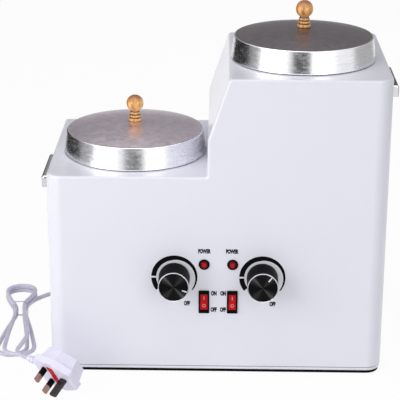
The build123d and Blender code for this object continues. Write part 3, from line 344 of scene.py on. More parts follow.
def wood_finish(name, centre):
    """Honey wood under clear varnish, darker at the crown and burnt dark in its grooves."""
    colour = bpy.context.scene.warmer_colours.wood
    finish = Finish(name, colour, roughness=0.38, Coat_Weight=0.6, Coat_Roughness=0.08)
    where = finish.place(centre, (1, 1, 0.22))
    grain = finish.noise(where, scale=620, detail=4, roughness=0.6)
    broad = finish.noise(where, scale=120)
    red, green, blue = colour
    figure = finish.spread(grain * 0.55 + broad * 0.45, 0.4, 0.62)
    honey = finish.mix(figure, (red * 0.62, green * 0.42, blue * 0.34), shade(colour, 1.28))
    crown = finish.spread(finish.along(finish.place(centre), "Z"), 22 * MM, 31 * MM)
    # Darker towards the top of the ball.
    crown_darkened = finish.mix(crown, honey, (red * 0.42, green * 0.2, blue * 0.14))
    burn = finish.node("ShaderNodeAttribute", {"attribute_name": "burn"}, output="Fac")
    charred = (0.09, 0.024, 0.008)
    finish.paint(finish.spread(burn, 0.1, 0.6), crown_darkened, charred)
    finish.roughen(grain, 0.3, 0.7, low=0.3, high=0.42)
    finish.bump(grain, distance=0.00008, strength=0.3)
    return finish.material


def black_finish(name, roughness):
    """Black plastic that reflects little."""
    colour = bpy.context.scene.warmer_colours.black
    finish = Finish(name, colour, roughness, Specular_IOR_Level=0.03)
    cloud = finish.noise(finish.place(), scale=300, detail=3)
    finish.paint(cloud, colour, shade(colour, 1.4))
    finish.roughen(cloud, 0.2, 0.8, low=roughness - 0.03, high=roughness + 0.04)
    return finish.material


def spun_black_finish(name, centre):
    """Black spun metal on a knob's face, with grooves round its centre and painted highlight wedges in its
    colour.
    """
    colour = bpy.context.scene.warmer_colours.black
    finish = Finish(name, shade(colour, 2.0), roughness=0.2, Metallic=1.0)
    where = finish.place(centre)
    sides = {0: finish.along(where, "Z"), 1: finish.along(where, "X")}
    turn = finish.node("ShaderNodeMath", {"operation": "ARCTAN2"}, sides)
    broad = finish.node("ShaderNodeMath", {"operation": "COSINE"}, {0: turn * 2 + radians(80)})
    narrow = finish.node("ShaderNodeMath", {"operation": "COSINE"}, {0: turn + radians(48)})
    # Painted highlight: lighter wedges by the angle round the centre, a broad pair and a narrow streak.
    highlight_wedge = (broad * broad) ** 3 * 0.35 + (narrow * narrow) ** 90
    rings = finish.rings(where, "Y", scale=620, distortion=0.6, detail=2)
    cloud = finish.noise(where, scale=500)
    shine, lit = highlight_wedge * (0.5 + rings * 0.5), (0.06, 0.06, 0.062)
    finish.paint(shine, shade(colour, 1.6), lit)
    finish.roughen(cloud, 0.2, 0.8, low=0.2, high=0.28)
    finish.bump(rings, distance=0.00016, strength=0.8)
    return finish.material


def metal_finish(name, colour, roughness):
    """Plain bright or brushed metal."""
    finish = Finish(name, colour, roughness, Metallic=1.0)
    lines = finish.noise(finish.place(scale=(1, 1, 30)), scale=90, detail=3)
    finish.paint(finish.spread(lines, 0.3, 0.7), shade(colour, 0.9), colour)
    finish.roughen(lines, 0.3, 0.7, low=roughness - 0.05, high=roughness + 0.08)
    finish.bump(lines, distance=0.00003, strength=0.3)
    return finish.material


def plastic_finish(name, colour, roughness, scale=260, depth=0.00005, **constants):
    """Moulded plastic or rubber with a faint texture."""
    finish = Finish(name, colour, roughness, **constants)
    cloud = finish.noise(finish.place(), scale=scale, detail=3)
    finish.paint(finish.spread(cloud, 0.3, 0.7), shade(colour, 0.95), colour)
    finish.roughen(cloud, 0.3, 0.7, low=roughness - 0.04, high=roughness + 0.06)
    finish.bump(cloud, distance=depth, strength=0.3)
    return finish.material


def lens_finish(name, centre):
    """Dark red lamp lens, lighter where its neon shows."""
    finish = Finish(name, (0.35, 0.004, 0.01), roughness=0.28, Specular_IOR_Level=0.12)
    where = finish.place(centre)
    away = finish.node("ShaderNodeVectorMath", {"operation": "LENGTH"}, {0: where}, output="Value")
    glow = finish.spread(away, 1.4 * MM, 4.0 * MM, low=1, high=0)
    facets = finish.noise(where, scale=900)
    dark, neon = (0.07, 0.001, 0.002), (0.6, 0.008, 0.014)
    finish.paint(glow * (0.55 + facets * 0.7), dark, neon)
    finish.bump(facets, distance=0.00005, strength=0.25)
    return finish.material


def painted_dark_top_steel_finish(top):
    """Handle steel with a painted dark reflection on its upper face, up to its top."""
    bright, roughness = HANDLE_STEEL
    finish = Finish("shaded_steel", bright, roughness, Metallic=1.0)
    height = finish.along(finish.place(), "Z")
    # Painted dark reflection on the upper face.
    upper = finish.spread(height, top - 0.6 * MM, top - 0.2 * MM)
    finish.paint(upper, bright, shade(bright, 0.08))
    return finish.material


def finish_for(slot):
    """The finish of one of the frame's material slots, made when it is first asked for."""
    name = f"slot_{slot}"
    if name in bpy.data.materials:
        return bpy.data.materials[name]
    if slot in METALS:
        return metal_finish(name, *METALS[slot])
    if slot in PLASTICS:
        return plastic_finish(name, *PLASTICS[slot])
    colours = bpy.context.scene.warmer_colours
    makers = {
        "white_enamel": lambda: enamel_finish(name),
        "black_base": lambda: black_finish(name, 0.4),
        "black_knob": lambda: black_finish(name, 0.42),
        "black_plastic": lambda: black_finish(name, 0.35),
        "spun_aluminium": lambda: metal_finish(name, colours.lid_rim, 0.25),
        "varnished_wood": lambda: plastic_finish(name, colours.wood, 0.35),
        "glass_wool": lambda: plastic_finish(name, (0.8, 0.77, 0.68), 0.9, scale=120, depth=0.002),
        "red_rocker": lambda: plastic_finish(name, colours.red, 0.3, Specular_IOR_Level=0.15),
        "red_fuse": lambda: plastic_finish(name, colours.red, 0.5, Specular_IOR_Level=0.1),
        "white_cord": lambda: plastic_finish(name, colours.lead, 0.3, scale=340, depth=0.00004),
        "white_gland": lambda: plastic_finish(name, shade(colours.lead, GLAND_BRIGHTER), 0.4),
    }
    return makers[slot]()


# Distances within which points are one, and the angle between faces that counts as flat
MERGE = 1e-6
CAD_MERGE = 2e-6
FLAT_ANGLE = radians(0.5)


def linked(name, data):
    """New object of the scene."""
    made = bpy.data.objects.new(name, data)
    bpy.context.scene.collection.objects.link(made)
    return made


def meshed(name, bm, *materials):
    """New object of the scene with the mesh of a bmesh, which ends there."""
    mesh = bpy.data.meshes.new(name)
    bm.to_mesh(mesh)
    bm.free()
    for material in materials:
        mesh.materials.append(material)
    return linked(name, mesh)


def finished(name, bm, body, slot, *materials, sharp=35):
    """Object from a bmesh: normals outwards, shaded smooth up to an angle, riding on its body."""
    bmesh.ops.remove_doubles(bm, verts=bm.verts, dist=MERGE)
    bmesh.ops.recalc_face_normals(bm, faces=bm.faces)
    for face in bm.faces:
        face.smooth = True
    for edge in bm.edges:
        if len(edge.link_faces) == 2 and edge.calc_face_angle(0) > radians(sharp):
            edge.smooth = False
    piece = meshed(name, bm, *materials)
    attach(piece, body)
    return piece


def dressed_copy(node, bevel=0.0, sharp=30, material=None):
    """Copy of a CAD node in its place, with smooth curves and edges broken by a bevel."""
    bm = bmesh.new()
    bm.from_mesh(NODES[node].data)
    bmesh.ops.remove_doubles(bm, verts=bm.verts, dist=CAD_MERGE)
    bmesh.ops.dissolve_degenerate(bm, edges=bm.edges, dist=MERGE)
    if bevel:
        bmesh.ops.dissolve_limit(bm, angle_limit=FLAT_ANGLE, verts=bm.verts, edges=bm.edges)
    look = material or finish_for(SLOTS[node])
    piece = finished(f"{node}_dressed", bm, BODIES[node], SLOTS[node], look, sharp=sharp)
    if bevel:
        edge = piece.modifiers.new("Soft edges", "BEVEL")
        edge.width = bevel
        edge.segments = 2
        edge.limit_method = "ANGLE"
        edge.angle_limit = radians(sharp)
    even = piece.modifiers.new("Even shading", "WEIGHTED_NORMAL")
    even.keep_sharp = True
    even.weight = 60
    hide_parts(node)
    return piece


def turned(profile, centre, axis, steps, burns=()):
    """A bmesh spun about an axis from (radius, height) points, with their burns where they have any."""
    bm = bmesh.new()
    layer = bm.verts.layers.float.new("burn") if burns else None
    points = [bm.verts.new(centre + RIGHT * radius + axis * height) for radius, height in profile]
    for point, burn in zip(points, burns):
        point[layer] = burn
    bmesh.ops.spin(
        bm,
        geom=points + [bm.edges.new(pair) for pair in zip(points, points[1:])],
        cent=centre,
        axis=axis,
        angle=2 * pi,
        steps=steps,
        use_merge=True,
    )
    return bm


def arc(centre, radius, start, end, steps):
    """Points of a circular arc in a profile, from one angle to another in degrees."""
    angles = [radians(start + (end - start) / steps * number) for number in range(steps + 1)]
    return [(centre[0] + radius * cos(turn), centre[1] + radius * sin(turn)) for turn in angles]


def dome(crown, radius, rise, reach, steps):
    """Points of a top that falls by its rise over its radius, from the axis out to a reach."""
    sphere = (radius**2 + rise**2) / (2 * rise)
    places = [reach * number / steps for number in range(steps + 1)]
    return [(away, crown - sphere + sqrt(sphere**2 - away**2)) for away in places]


def thicken(bm, offset):
    """Extrudes the faces of a flat bmesh by an offset."""
    made = bmesh.ops.extrude_face_region(bm, geom=bm.faces[:])
    lifted = [item for item in made["geom"] if isinstance(item, bmesh.types.BMVert)]
    bmesh.ops.translate(bm, verts=lifted, vec=offset)


# Lamps: place, aim and size in metres, and whether metal shows them
LAMPS = {
    "key": ((-1.15, -0.8, 0.8), (0, 0, 0.45), (1.3, 1.3), True),
    "fill": ((0.75, -1.25, 0.75), (0, 0, 0.5), (0.7, 1.3), True),
    "top": ((-0.25, -0.25, 1.6), (0, 0, 0.3), (1.2, 0.8), True),
    "back": ((1.3, 1.2, 0.8), (0, 0, 0.2), (1.2, 1.2), False),
}
# Cards: grey tone, size in metres, turn about the upright axis in degrees, and place
CARDS = {
    "front_card": (0.01, (0.95, 1.6), 0, (-0.1, -1.9, 0.8)),
    "left_card": (0.02, (1.0, 0.8), 60, (-0.72, 0.5, 0.4)),
    "side_card": (0.3, (0.5, 0.8), 84, (-1.0, -0.18, 0.4)),
    "right_card": (0.45, (1.0, 0.8), -70, (0.85, 0.35, 0.45)),
    "rear_card": (0.31, (4.4, 2.2), 0, (0, 1.9, 1.42)),
}
DAYLIGHT = (0.97, 0.98, 1.0, 1)
WHITE = (1, 1, 1, 1)
FLOOR_SIZE = (12, 12)


class WARMER_OT_stage(bpy.types.Operator):
    """Camera, soft lamps, world, floor and reflected cards"""

    bl_idname = "warmer.stage"
    bl_label = "Stage"

    def camera(self, context):
        values = context.scene.warmer_camera
        data = bpy.data.cameras.new("camera")
        data.lens = values.lens
        data.sensor_width = 36
        data.clip_start = 0.05
        camera = linked("camera", data)
        camera.matrix_world = (
            Matrix.Translation(values.place)
            @ Matrix.Rotation(-values.yaw, 4, "Z")
            @ Matrix.Rotation(radians(90) - values.pitch, 4, "X")
            @ Matrix.Rotation(-values.roll, 4, "Z")
        )
        context.scene.camera = camera

    def lamp(self, name, power, place, aim, size, glossy):
        data = bpy.data.lights.new(name, "AREA")
        data.shape = "RECTANGLE"
        data.size, data.size_y = size
        data.energy = power
        lamp = linked(name, data)
        lamp.location = place
        lamp.rotation_euler = (Vector(aim) - Vector(place)).to_track_quat("-Z", "Y").to_euler()
        lamp.visible_glossy = glossy

    def world(self, context, strength):
        """Even light, and plain white where the eye or metal looks past the floor."""
        world = bpy.data.worlds.new("studio")
        nodes = Nodes(world)
        even = nodes.node("ShaderNodeBackground", None, {"Color": DAYLIGHT, "Strength": strength})
        white = nodes.node("ShaderNodeBackground", None, {"Color": WHITE, "Strength": 1.0})
        mixed = nodes.node("ShaderNodeMixShader", None, {"Fac": nodes.seen(), 1: even, 2: white})
        nodes.show(mixed, "World Output")
        context.scene.world = world

    def sheet(self, name, material, size, tilt, turn, place):
        """Square of the stage, tilted up, turned about the upright axis and moved to its place."""
        turns = Matrix.Rotation(radians(turn), 3, "Z") @ Matrix.Rotation(radians(tilt), 3, "X")
        bm = bmesh.new()
        bmesh.ops.create_grid(bm, x_segments=1, y_segments=1, size=0.5)
        bmesh.ops.scale(bm, vec=(*size, 1), verts=bm.verts)
        bmesh.ops.rotate(bm, matrix=turns, verts=bm.verts)
        bmesh.ops.translate(bm, vec=place, verts=bm.verts)
        sheet = meshed(name, bm, material)
        return sheet

    def floor(self, colour, white):
        """Floor that takes shadows, and is nearly plain white to the eye and to metal."""
        finish = Finish("floor", colour, roughness=0.9)
        matt = Channel(finish, finish.shader.outputs["BSDF"])
        glow = finish.node("ShaderNodeEmission", None, {"Color": WHITE})
        share = finish.seen() * white
        mixed = finish.node("ShaderNodeMixShader", None, {"Fac": share, 1: matt, 2: glow})
        finish.show(mixed, "Material Output")
        self.sheet("floor", finish.material, FLOOR_SIZE, 0, 0, (0, 0, 0))

    def card(self, name, tone, size, turn, place):
        """Grey card round the object, there only for the metal to reflect."""
        material = bpy.data.materials.new(name)
        nodes = Nodes(material)
        glow = nodes.node("ShaderNodeEmission", None, {"Color": (tone, tone, tone, 1)})
        nodes.show(glow, "Material Output")
        card = self.sheet(name, material, size, 90, turn, place)
        card.visible_camera = False
        card.visible_diffuse = False
        card.visible_shadow = False

    def execute(self, context):
        values = context.scene.warmer_light
        context.scene.view_settings.view_transform = "Standard"
        self.camera(context)
        self.world(context, values.world)
        for name, lamp in LAMPS.items():
            self.lamp(name, getattr(values, name), *lamp)
        self.floor(values.floor, values.floor_white)
        for name, card in CARDS.items():
            self.card(name, *card)
        return {"FINISHED"}


# The lead's route in millimetres, counted from the left side wall, from the rear or front, and up
SIDE_X = -190.0
DEPTH = 224.0
ROUTE_FROM_GLAND = [(108.0, 29.4, 30.0), (108.0, 46.4, 30.0)]
ROUTE_BEHIND = [
    (102.0, 66.0, 26.5),
    (86.0, 80.0, 19.0),
    (65.0, 79.5, 11.0),
    (46.0, 67.0, 5.5),
    (29.7, 49.0, 3.0),
    (4.0, 22.2, 2.7),
]
ROUTE_TO_PLUG = [(-34.5, 65.0, 15.5), (-37.0, 32.0, 19.0), (-39.5, 4.0, 24.5)]
PLUG_TURN = radians(36)
PLUG_SLEEVE_END = (-22.18, -22.53, 26.87)
PLUG_RUN = 15.0
HANK_ORIGIN = (-41.0, 4.0)
HANK_SLANT = radians(5.5)
HANK_ENTRY = [(211.0, 38.0, 0.0), (193.0, 17.0, 0.0), (173.0, 7.4, 0.6), (152.0, 4.2, 1.0)]
HANK_EXIT = (92.0, 9.6)
WAIST = (150.0, 3.4)
WAIST_LIFT = 1.0
CORD_REST = 2.7
CORD_STEP = 6.0
FOLD_RADIUS = 17.6
FOLD_CORNERS = 5
REAR_FLARE = 20.0
STRAND_SHARES = [0.27, 0.54, 0.8]
STRAND_BOW = 1.5
LOOP_FRONTS = [32.0, 20.0]
LOOP_FANS = [-8.0, 3.0]


def beside(point, start=0.0):
    """A route point in metres, counted from the left side wall and a depth behind the front face."""
    x, y, z = point
    return Vector(((SIDE_X + x) * MM, PANEL_Y + (start + y) * MM, z * MM))


def lay(along, across, height):
    """Place in the hank's own frame, which leans away from the housing."""
    x = HANK_ORIGIN[0] - along * sin(HANK_SLANT) + across * cos(HANK_SLANT)
    y = HANK_ORIGIN[1] + along * cos(HANK_SLANT) + across * sin(HANK_SLANT)
    return beside((x, y, height))


def fold_turns(flare):
    """Corners of a fold from its left flank to its right one, seen from the middle of its circle."""
    turn = (180 + 2 * flare) / FOLD_CORNERS
    reach = FOLD_RADIUS / cos(radians(turn / 2))
    angles = [radians(-90 - flare + turn * (number + 0.5)) for number in range(FOLD_CORNERS)]
    return [(reach * cos(angle), reach * sin(angle)) for angle in angles]


def flank(start, end, share):
    """Point on a strand between two places of the hank, bowed outward a little."""
    along = start[0] + (end[0] - start[0]) * share
    across = start[1] + (end[1] - start[1]) * share
    bow = STRAND_BOW * sin(pi * share)
    return (along, across + bow if across > 0 else across - bow)


def hank_loop(front, fan, level):
    """One loop of the hank: forward on its right, round the front, back on its left, round the rear."""
    left_waist = (WAIST[0], -WAIST[1])
    centre = front + FOLD_RADIUS
    flare = degrees(atan((FOLD_RADIUS - WAIST[1]) / (WAIST[0] - centre)))
    ahead = [(centre - along, -across) for along, across in fold_turns(flare)]
    strand = [flank(WAIST, ahead[0], share) for share in STRAND_SHARES]
    way = strand + ahead + [(along, -across) for along, across in reversed(strand)]
    spread = atan(fan / (WAIST[0] - front))
    fanned = []
    for along, across in way:
        reach = WAIST[0] - along
        turned_along = WAIST[0] - reach * cos(spread) + across * sin(spread)
        fanned.append((turned_along, across * cos(spread) + reach * sin(spread)))
    tilt = radians(REAR_FLARE)
    rear_centre = WAIST[0] + (FOLD_RADIUS - WAIST[1] * cos(tilt)) / sin(tilt)
    behind = [(rear_centre + along, across) for along, across in fold_turns(REAR_FLARE)]
    out = flank(left_waist, behind[0], 0.5)
    points = [lay(*place, level) for place in fanned]
    points.append(lay(*left_waist, level + WAIST_LIFT))
    points.append(lay(*out, level + CORD_STEP / 2))
    points += [lay(*place, level + CORD_STEP) for place in behind]
    points.append(lay(out[0], -out[1], level + CORD_STEP))
    points.append(lay(*WAIST, level + CORD_STEP + WAIST_LIFT))
    return points


class WARMER_OT_lead(bpy.types.Operator):
    """Mains lead from its gland through the tied hank to the plug"""

    bl_idname = "warmer.lead"
    bl_label = "Mains lead"

    def execute(self, context):
        diameter = context.scene.warmer_sizes.cord
        end = beside(PLUG_SLEEVE_END)
        back = Vector((-cos(PLUG_TURN), sin(PLUG_TURN), 0)) * PLUG_RUN * MM
        route = [beside(point, DEPTH) for point in ROUTE_FROM_GLAND + ROUTE_BEHIND]
        route += [lay(along, across, CORD_REST + lift) for along, across, lift in HANK_ENTRY]
        for number, (front, fan) in enumerate(zip(LOOP_FRONTS, LOOP_FANS)):
            route += hank_loop(front, fan, CORD_REST + number * CORD_STEP)
        route.append(lay(*HANK_EXIT, CORD_REST + len(LOOP_FRONTS) * CORD_STEP))
        route += [beside(point) for point in ROUTE_TO_PLUG]
        route += [end + back, end]
        curve = bpy.data.curves.new("lead", "CURVE")
        curve.dimensions = "3D"
        curve.bevel_depth = diameter / 2
        curve.bevel_resolution = 6
        curve.resolution_u = 8
        curve.use_fill_caps = True
        spline = curve.splines.new("NURBS")
        spline.points.add(len(route) - 1)
        for point, place in zip(spline.points, route):
            point.co = (*place, 1)
        spline.order_u = 3
        spline.use_endpoint_u = True
        curve.materials.append(finish_for("white_cord"))
        lead = linked("lead", curve)
        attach(lead, "housing")
        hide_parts("mains_lead", "cord_hank", "plug_lead")
        on_lead = ["cord_gland", "cord_tie", "plug_sleeve", "plug_body", "plug_line_pins"]
        on_lead += ["plug_pin_sleeves", "plug_earth_pin", "fuse_carrier"]
        return {"FINISHED"}


class WARMER_OT_finishes(bpy.types.Operator):
    """Node finishes on every CAD node"""

    bl_idname = "warmer.finishes"
    bl_label = "CAD finishes"

    def execute(self, context):
        for name, node in NODES.items():
            for holder in node.material_slots:
                holder.material = finish_for(SLOTS[name])
        return {"FINISHED"}


# Painted panels, and the black strip in the seam above the base, a painted shadow of the gap
PAINTED = ("front_wrap", "low_top", "riser_panel", "high_top", "rear_panel", "bottom_rim")
SEAM_PROUD = 0.1 * MM
SEAM_DEPTH = 0.5 * MM
SEAM_FRONT_RADIUS = 17.4 * MM
SEAM_REAR_RADIUS = 4.4 * MM


class WARMER_OT_housing(bpy.types.Operator):
    """Smoothly shaded copies of the painted housing panels and the base"""

    bl_idname = "warmer.housing"
    bl_label = "Housing"

    def execute(self, context):
        for node in (*PAINTED, "base_plate"):
            dressed_copy(node)
        self.seam(context.scene.warmer_sizes.seam)
        return {"FINISHED"}

    def seam(self, height):
        """Black strip round the housing where its sheet meets the lip of the base: a painted shadow of the
        gap.
        """
        low, high, centre = span("bottom_rim")
        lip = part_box("front_wrap")[0][2]
        reach = high - low + Vector((2, 2, 0)) * SEAM_PROUD
        bm = bmesh.new()
        bmesh.ops.create_grid(bm, x_segments=1, y_segments=1, size=0.5)
        bmesh.ops.scale(bm, vec=(*reach.xy, 1), verts=bm.verts)
        bmesh.ops.translate(bm, vec=(*centre.xy, lip - height), verts=bm.verts)
        for radius, front in ((SEAM_FRONT_RADIUS, True), (SEAM_REAR_RADIUS, False)):
            bmesh.ops.bevel(
                bm,
                geom=[vert for vert in bm.verts if (vert.co.y < centre.y) == front],
                offset=radius,
                segments=12,
                profile=0.5,
                affect="VERTICES",
                material=-1,
            )
        bmesh.ops.inset_region(
            bm, faces=bm.faces[:], thickness=SEAM_DEPTH, use_boundary=True, use_even_offset=True
        )
        middle = min(bm.faces, key=lambda face: (face.calc_center_median().xy - centre.xy).length)
        bmesh.ops.delete(bm, geom=[middle], context="FACES")
        thicken(bm, (0, 0, height))
        finished("base_seam", bm, "housing", "black_base", finish_for("black_base"))


# Lids. The top and the skirt are inset from the rim of the CAD lid, the crown and the brushing from
# the top, and the hem from the skirt. The high lid's crown is painted much darker: a painted dark
# reflection.
LID_TOP_INSET = 3.1 * MM
LID_TOP_DROP = 9.4 * MM
LID_SKIRT_INSET = 0.5 * MM
LID_WALL = 1.2 * MM
LID_CROWN_INSET = 1.6 * MM
LID_ROLL_RADIUS = 1.35 * MM
LID_BRUSHED_INSET = 1.7 * MM
LID_SHOULDER = 1.5 * MM
LID_FOOT = 4 * MM
LID_SKIRT_SHARES = (0.05, 0.35, 0.65, 0.95)
LID_HEM_RADIUS = 0.6 * MM
LID_HEM_INSET = 0.1 * MM
LID_MOUTH = 1 * MM
LID_INNER_SLOPE = 9 * MM
LID_TOP_PAINTED_TONES = {"low": 0.92, "high": 0.32}


class WARMER_OT_lids(bpy.types.Operator):
    """Spun lids with a crowned top and a tapered polished skirt"""

    bl_idname = "warmer.lids"
    bl_label = "Lids"

    def section(self, top, skirt, crown, bottom):
        """Half section of a lid: over the crown, down the skirt and back to the axis inside."""
        edge = crown - LID_TOP_DROP
        fall = edge - bottom - LID_FOOT
        outer = dome(crown, top, LID_TOP_DROP, top - LID_CROWN_INSET, 24)
        outer += arc((top - LID_ROLL_RADIUS, outer[-1][1] - LID_ROLL_RADIUS), LID_ROLL_RADIUS, 72, 8, 8)
        for share in LID_SKIRT_SHARES:
            outer.append((top + (skirt - top) * share, edge - LID_SHOULDER - fall * share))
        outer += arc((skirt - LID_HEM_INSET, bottom + LID_HEM_RADIUS), LID_HEM_RADIUS, 60, -90, 6)
        return outer + [
            (skirt - LID_WALL, bottom),
            (skirt - LID_WALL, bottom + LID_MOUTH),
            (top - LID_WALL, edge - LID_WALL),
            (top - LID_INNER_SLOPE, edge - LID_WALL),
            (0, crown - LID_WALL),
        ]

    def execute(self, context):
        steps = context.scene.warmer_sizes.spin_steps
        for deck in DECKS:
            low, high, centre = span(f"{deck}_lid")
            centre.z = 0
            rim = (high.x - low.x) / 2
            top = rim - LID_TOP_INSET
            bm = turned(self.section(top, rim - LID_SKIRT_INSET, high.z, low.z), centre, UP, steps)
            brushed = spun_top_finish(f"{deck}_lid_top", tuple(centre), LID_TOP_PAINTED_TONES[deck])
            polished = spun_rim_finish(f"{deck}_lid_skirt", tuple(centre))
            lid = finished(f"{deck}_lid_spun", bm, f"{deck}_lid", "spun_aluminium", brushed, polished)
            for face in lid.data.polygons:
                away = (face.center - centre).xy.length
                face.material_index = int(away > top - LID_BRUSHED_INSET or face.normal.z < 0)
            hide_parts(f"{deck}_lid")
        return {"FINISHED"}


# Foot and neck of a pull: radius and height in millimetres, and how deeply the wood is burnt there.
# The arc of the ball above them starts at an angle in degrees.
PULL_NECK = [
    (0, 0, 0), (7.0, 0, 0.6), (7.6, 0.6, 0), (7.65, 2.0, 0), (7.5, 3.2, 0), (6.9, 3.6, 0.4),
    (6.1, 4.0, 1), (6.1, 4.5, 1), (6.7, 4.9, 0.3), (7.0, 5.7, 0), (6.9, 6.8, 0), (6.2, 7.3, 0.5),
    (5.4, 7.6, 1), (5.4, 8.0, 1), (6.0, 8.5, 0.3), (6.3, 9.3, 0), (6.1, 10.2, 0), (5.5, 10.8, 0.4),
    (5.2, 11.3, 0.8), (5.2, 11.9, 0.5),
]
BALL_START = -58
BALL_STEPS = 23


class WARMER_OT_pulls(bpy.types.Operator):
    """Turned wooden pulls with burnt grooves"""

    bl_idname = "warmer.pulls"
    bl_label = "Wooden pulls"

    def execute(self, context):
        steps = context.scene.warmer_sizes.spin_steps // 2
        burns = [burn for radius, height, burn in PULL_NECK] + [0] * (BALL_STEPS + 1)
        for deck in DECKS:
            low, high, centre = span(f"{deck}_lid_pull")
            centre.z = low.z
            ball = (high.x - low.x) / 2
            profile = [(radius * MM, height * MM) for radius, height, burn in PULL_NECK]
            profile += arc((0, high.z - low.z - ball), ball, BALL_START, 90, BALL_STEPS)
            bm = turned(profile, centre, UP, steps, burns)
            wood = wood_finish(f"{deck}_pull_wood", tuple(centre))
            pull = finished(f"{deck}_pull_turned", bm, f"{deck}_lid", "varnished_wood", wood, sharp=80)
            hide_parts(f"{deck}_lid_pull")
        return {"FINISHED"}


# Knobs: insets count inwards from the widest radius or the ring's rim
KNOB_WALL = 2.8 * MM
KNOB_HOLLOW = 4 * MM
KNOB_CHAMFER = 0.4 * MM
KNOB_EDGE = 0.25 * MM
KNOB_DRAFT = 0.4 * MM
# Inset at a height above the barrel's start
KNOB_TAPER = ((0.1 * MM, 8 * MM), (0.3 * MM, 20 * MM))
# Inset at a height above the seat of the ring, and at a depth below its face
RING_FOOT = ((0.1 * MM, 0), (0, 0.15 * MM), (0, 0.35 * MM))
RING_FACE = ((0.55 * MM, 0.05 * MM), (0.8 * MM, 0), (0.95 * MM, 0.2 * MM))


class WARMER_OT_knobs(bpy.types.Operator):
    """Black knobs with a spun face inside a polished ring"""

    bl_idname = "warmer.knobs"
    bl_label = "Knobs"

    def barrel(self, radius, start, seat):
        """Half section of the black barrel, from its hollow underside to the seat of the ring."""
        tip = radius - KNOB_DRAFT
        return [
            (radius - KNOB_WALL, start + KNOB_HOLLOW),
            (radius - KNOB_WALL, start),
            (radius - KNOB_CHAMFER, start),
            (radius, start + KNOB_CHAMFER),
            *((radius - inset, start + height) for inset, height in KNOB_TAPER),
            (tip, seat - KNOB_EDGE),
            (tip - KNOB_EDGE, seat),
            (0, seat),
        ]

    def ring(self, rim, seat, face):
        """Half section of the polished ring and the disc sunk into it."""
        return [
            (0, seat),
            *((rim - inset, seat + height) for inset, height in RING_FOOT),
            *((rim - inset, face - depth) for inset, depth in RING_FACE),
            (0, face - RING_FACE[-1][1]),
        ]

    def execute(self, context):
        steps = context.scene.warmer_sizes.spin_steps
        for side in SIDES:
            low, high, centre = span(f"{side}_knob")
            centre.y = PANEL_Y
            radius = (high.x - low.x) / 2
            rim = radius - KNOB_DRAFT
            start, seat = PANEL_Y - high.y, PANEL_Y - low.y
            face = PANEL_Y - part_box(f"{side}_knob_cap")[0][1]
            bm = turned(self.barrel(radius, start, seat), centre, OUTWARD, steps)
            black = finish_for("black_knob")
            barrel = finished(f"{side}_knob_barrel", bm, f"{side}_knob", "black_knob", black)
            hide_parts(f"{side}_knob")
            bm = turned(self.ring(rim, seat, face), centre, OUTWARD, steps)
            polished = finish_for("polished_cap")
            spun = spun_black_finish(f"{side}_knob_face", tuple(centre))
            disc = finished(f"{side}_knob_disc", bm, f"{side}_knob", "polished_cap", polished, spun)
            for polygon in disc.data.polygons:
                away = (polygon.center - centre).xz.length
                polygon.material_index = int(away < rim - RING_FACE[-1][0])
            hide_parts(f"{side}_knob_cap")
        return {"FINISHED"}


# Dial bands: two arcs with a tick between them, in degrees from the right, seen from the front.
# Angles count up from BAND_OPEN, where there is no band. BAND_BLANK is the share of the radius that
# stays free when the band is spun, before it is narrowed.
BAND_ARCS = ((218, 182.5), (177.5, -38))
BAND_STEP = 3
BAND_NARROWS, BAND_ENDS = 100, -38
BAND_OPEN = -60
BAND_BLANK = 0.8
# Captions by column, in millimetres: places across the panel by side, and then each caption's name,
# words, place up the panel, and width and height
CAPTIONS = (
    ((-13.7, 17.4), [("power_caption", "POWER", 150.5, (14.2, 5.6))]),
    ((-2.9, 7.6), [("on_caption", "ON", 99.5, (6.4, 5.8)), ("off_caption", "OFF", 79.5, (6.9, 5.8))]),
    ((-33.2, 63.6), [("dial_off", "OFF", 87.0, (6.9, 5.8))]),
)
CAPTION_BOLDNESS = 0.07


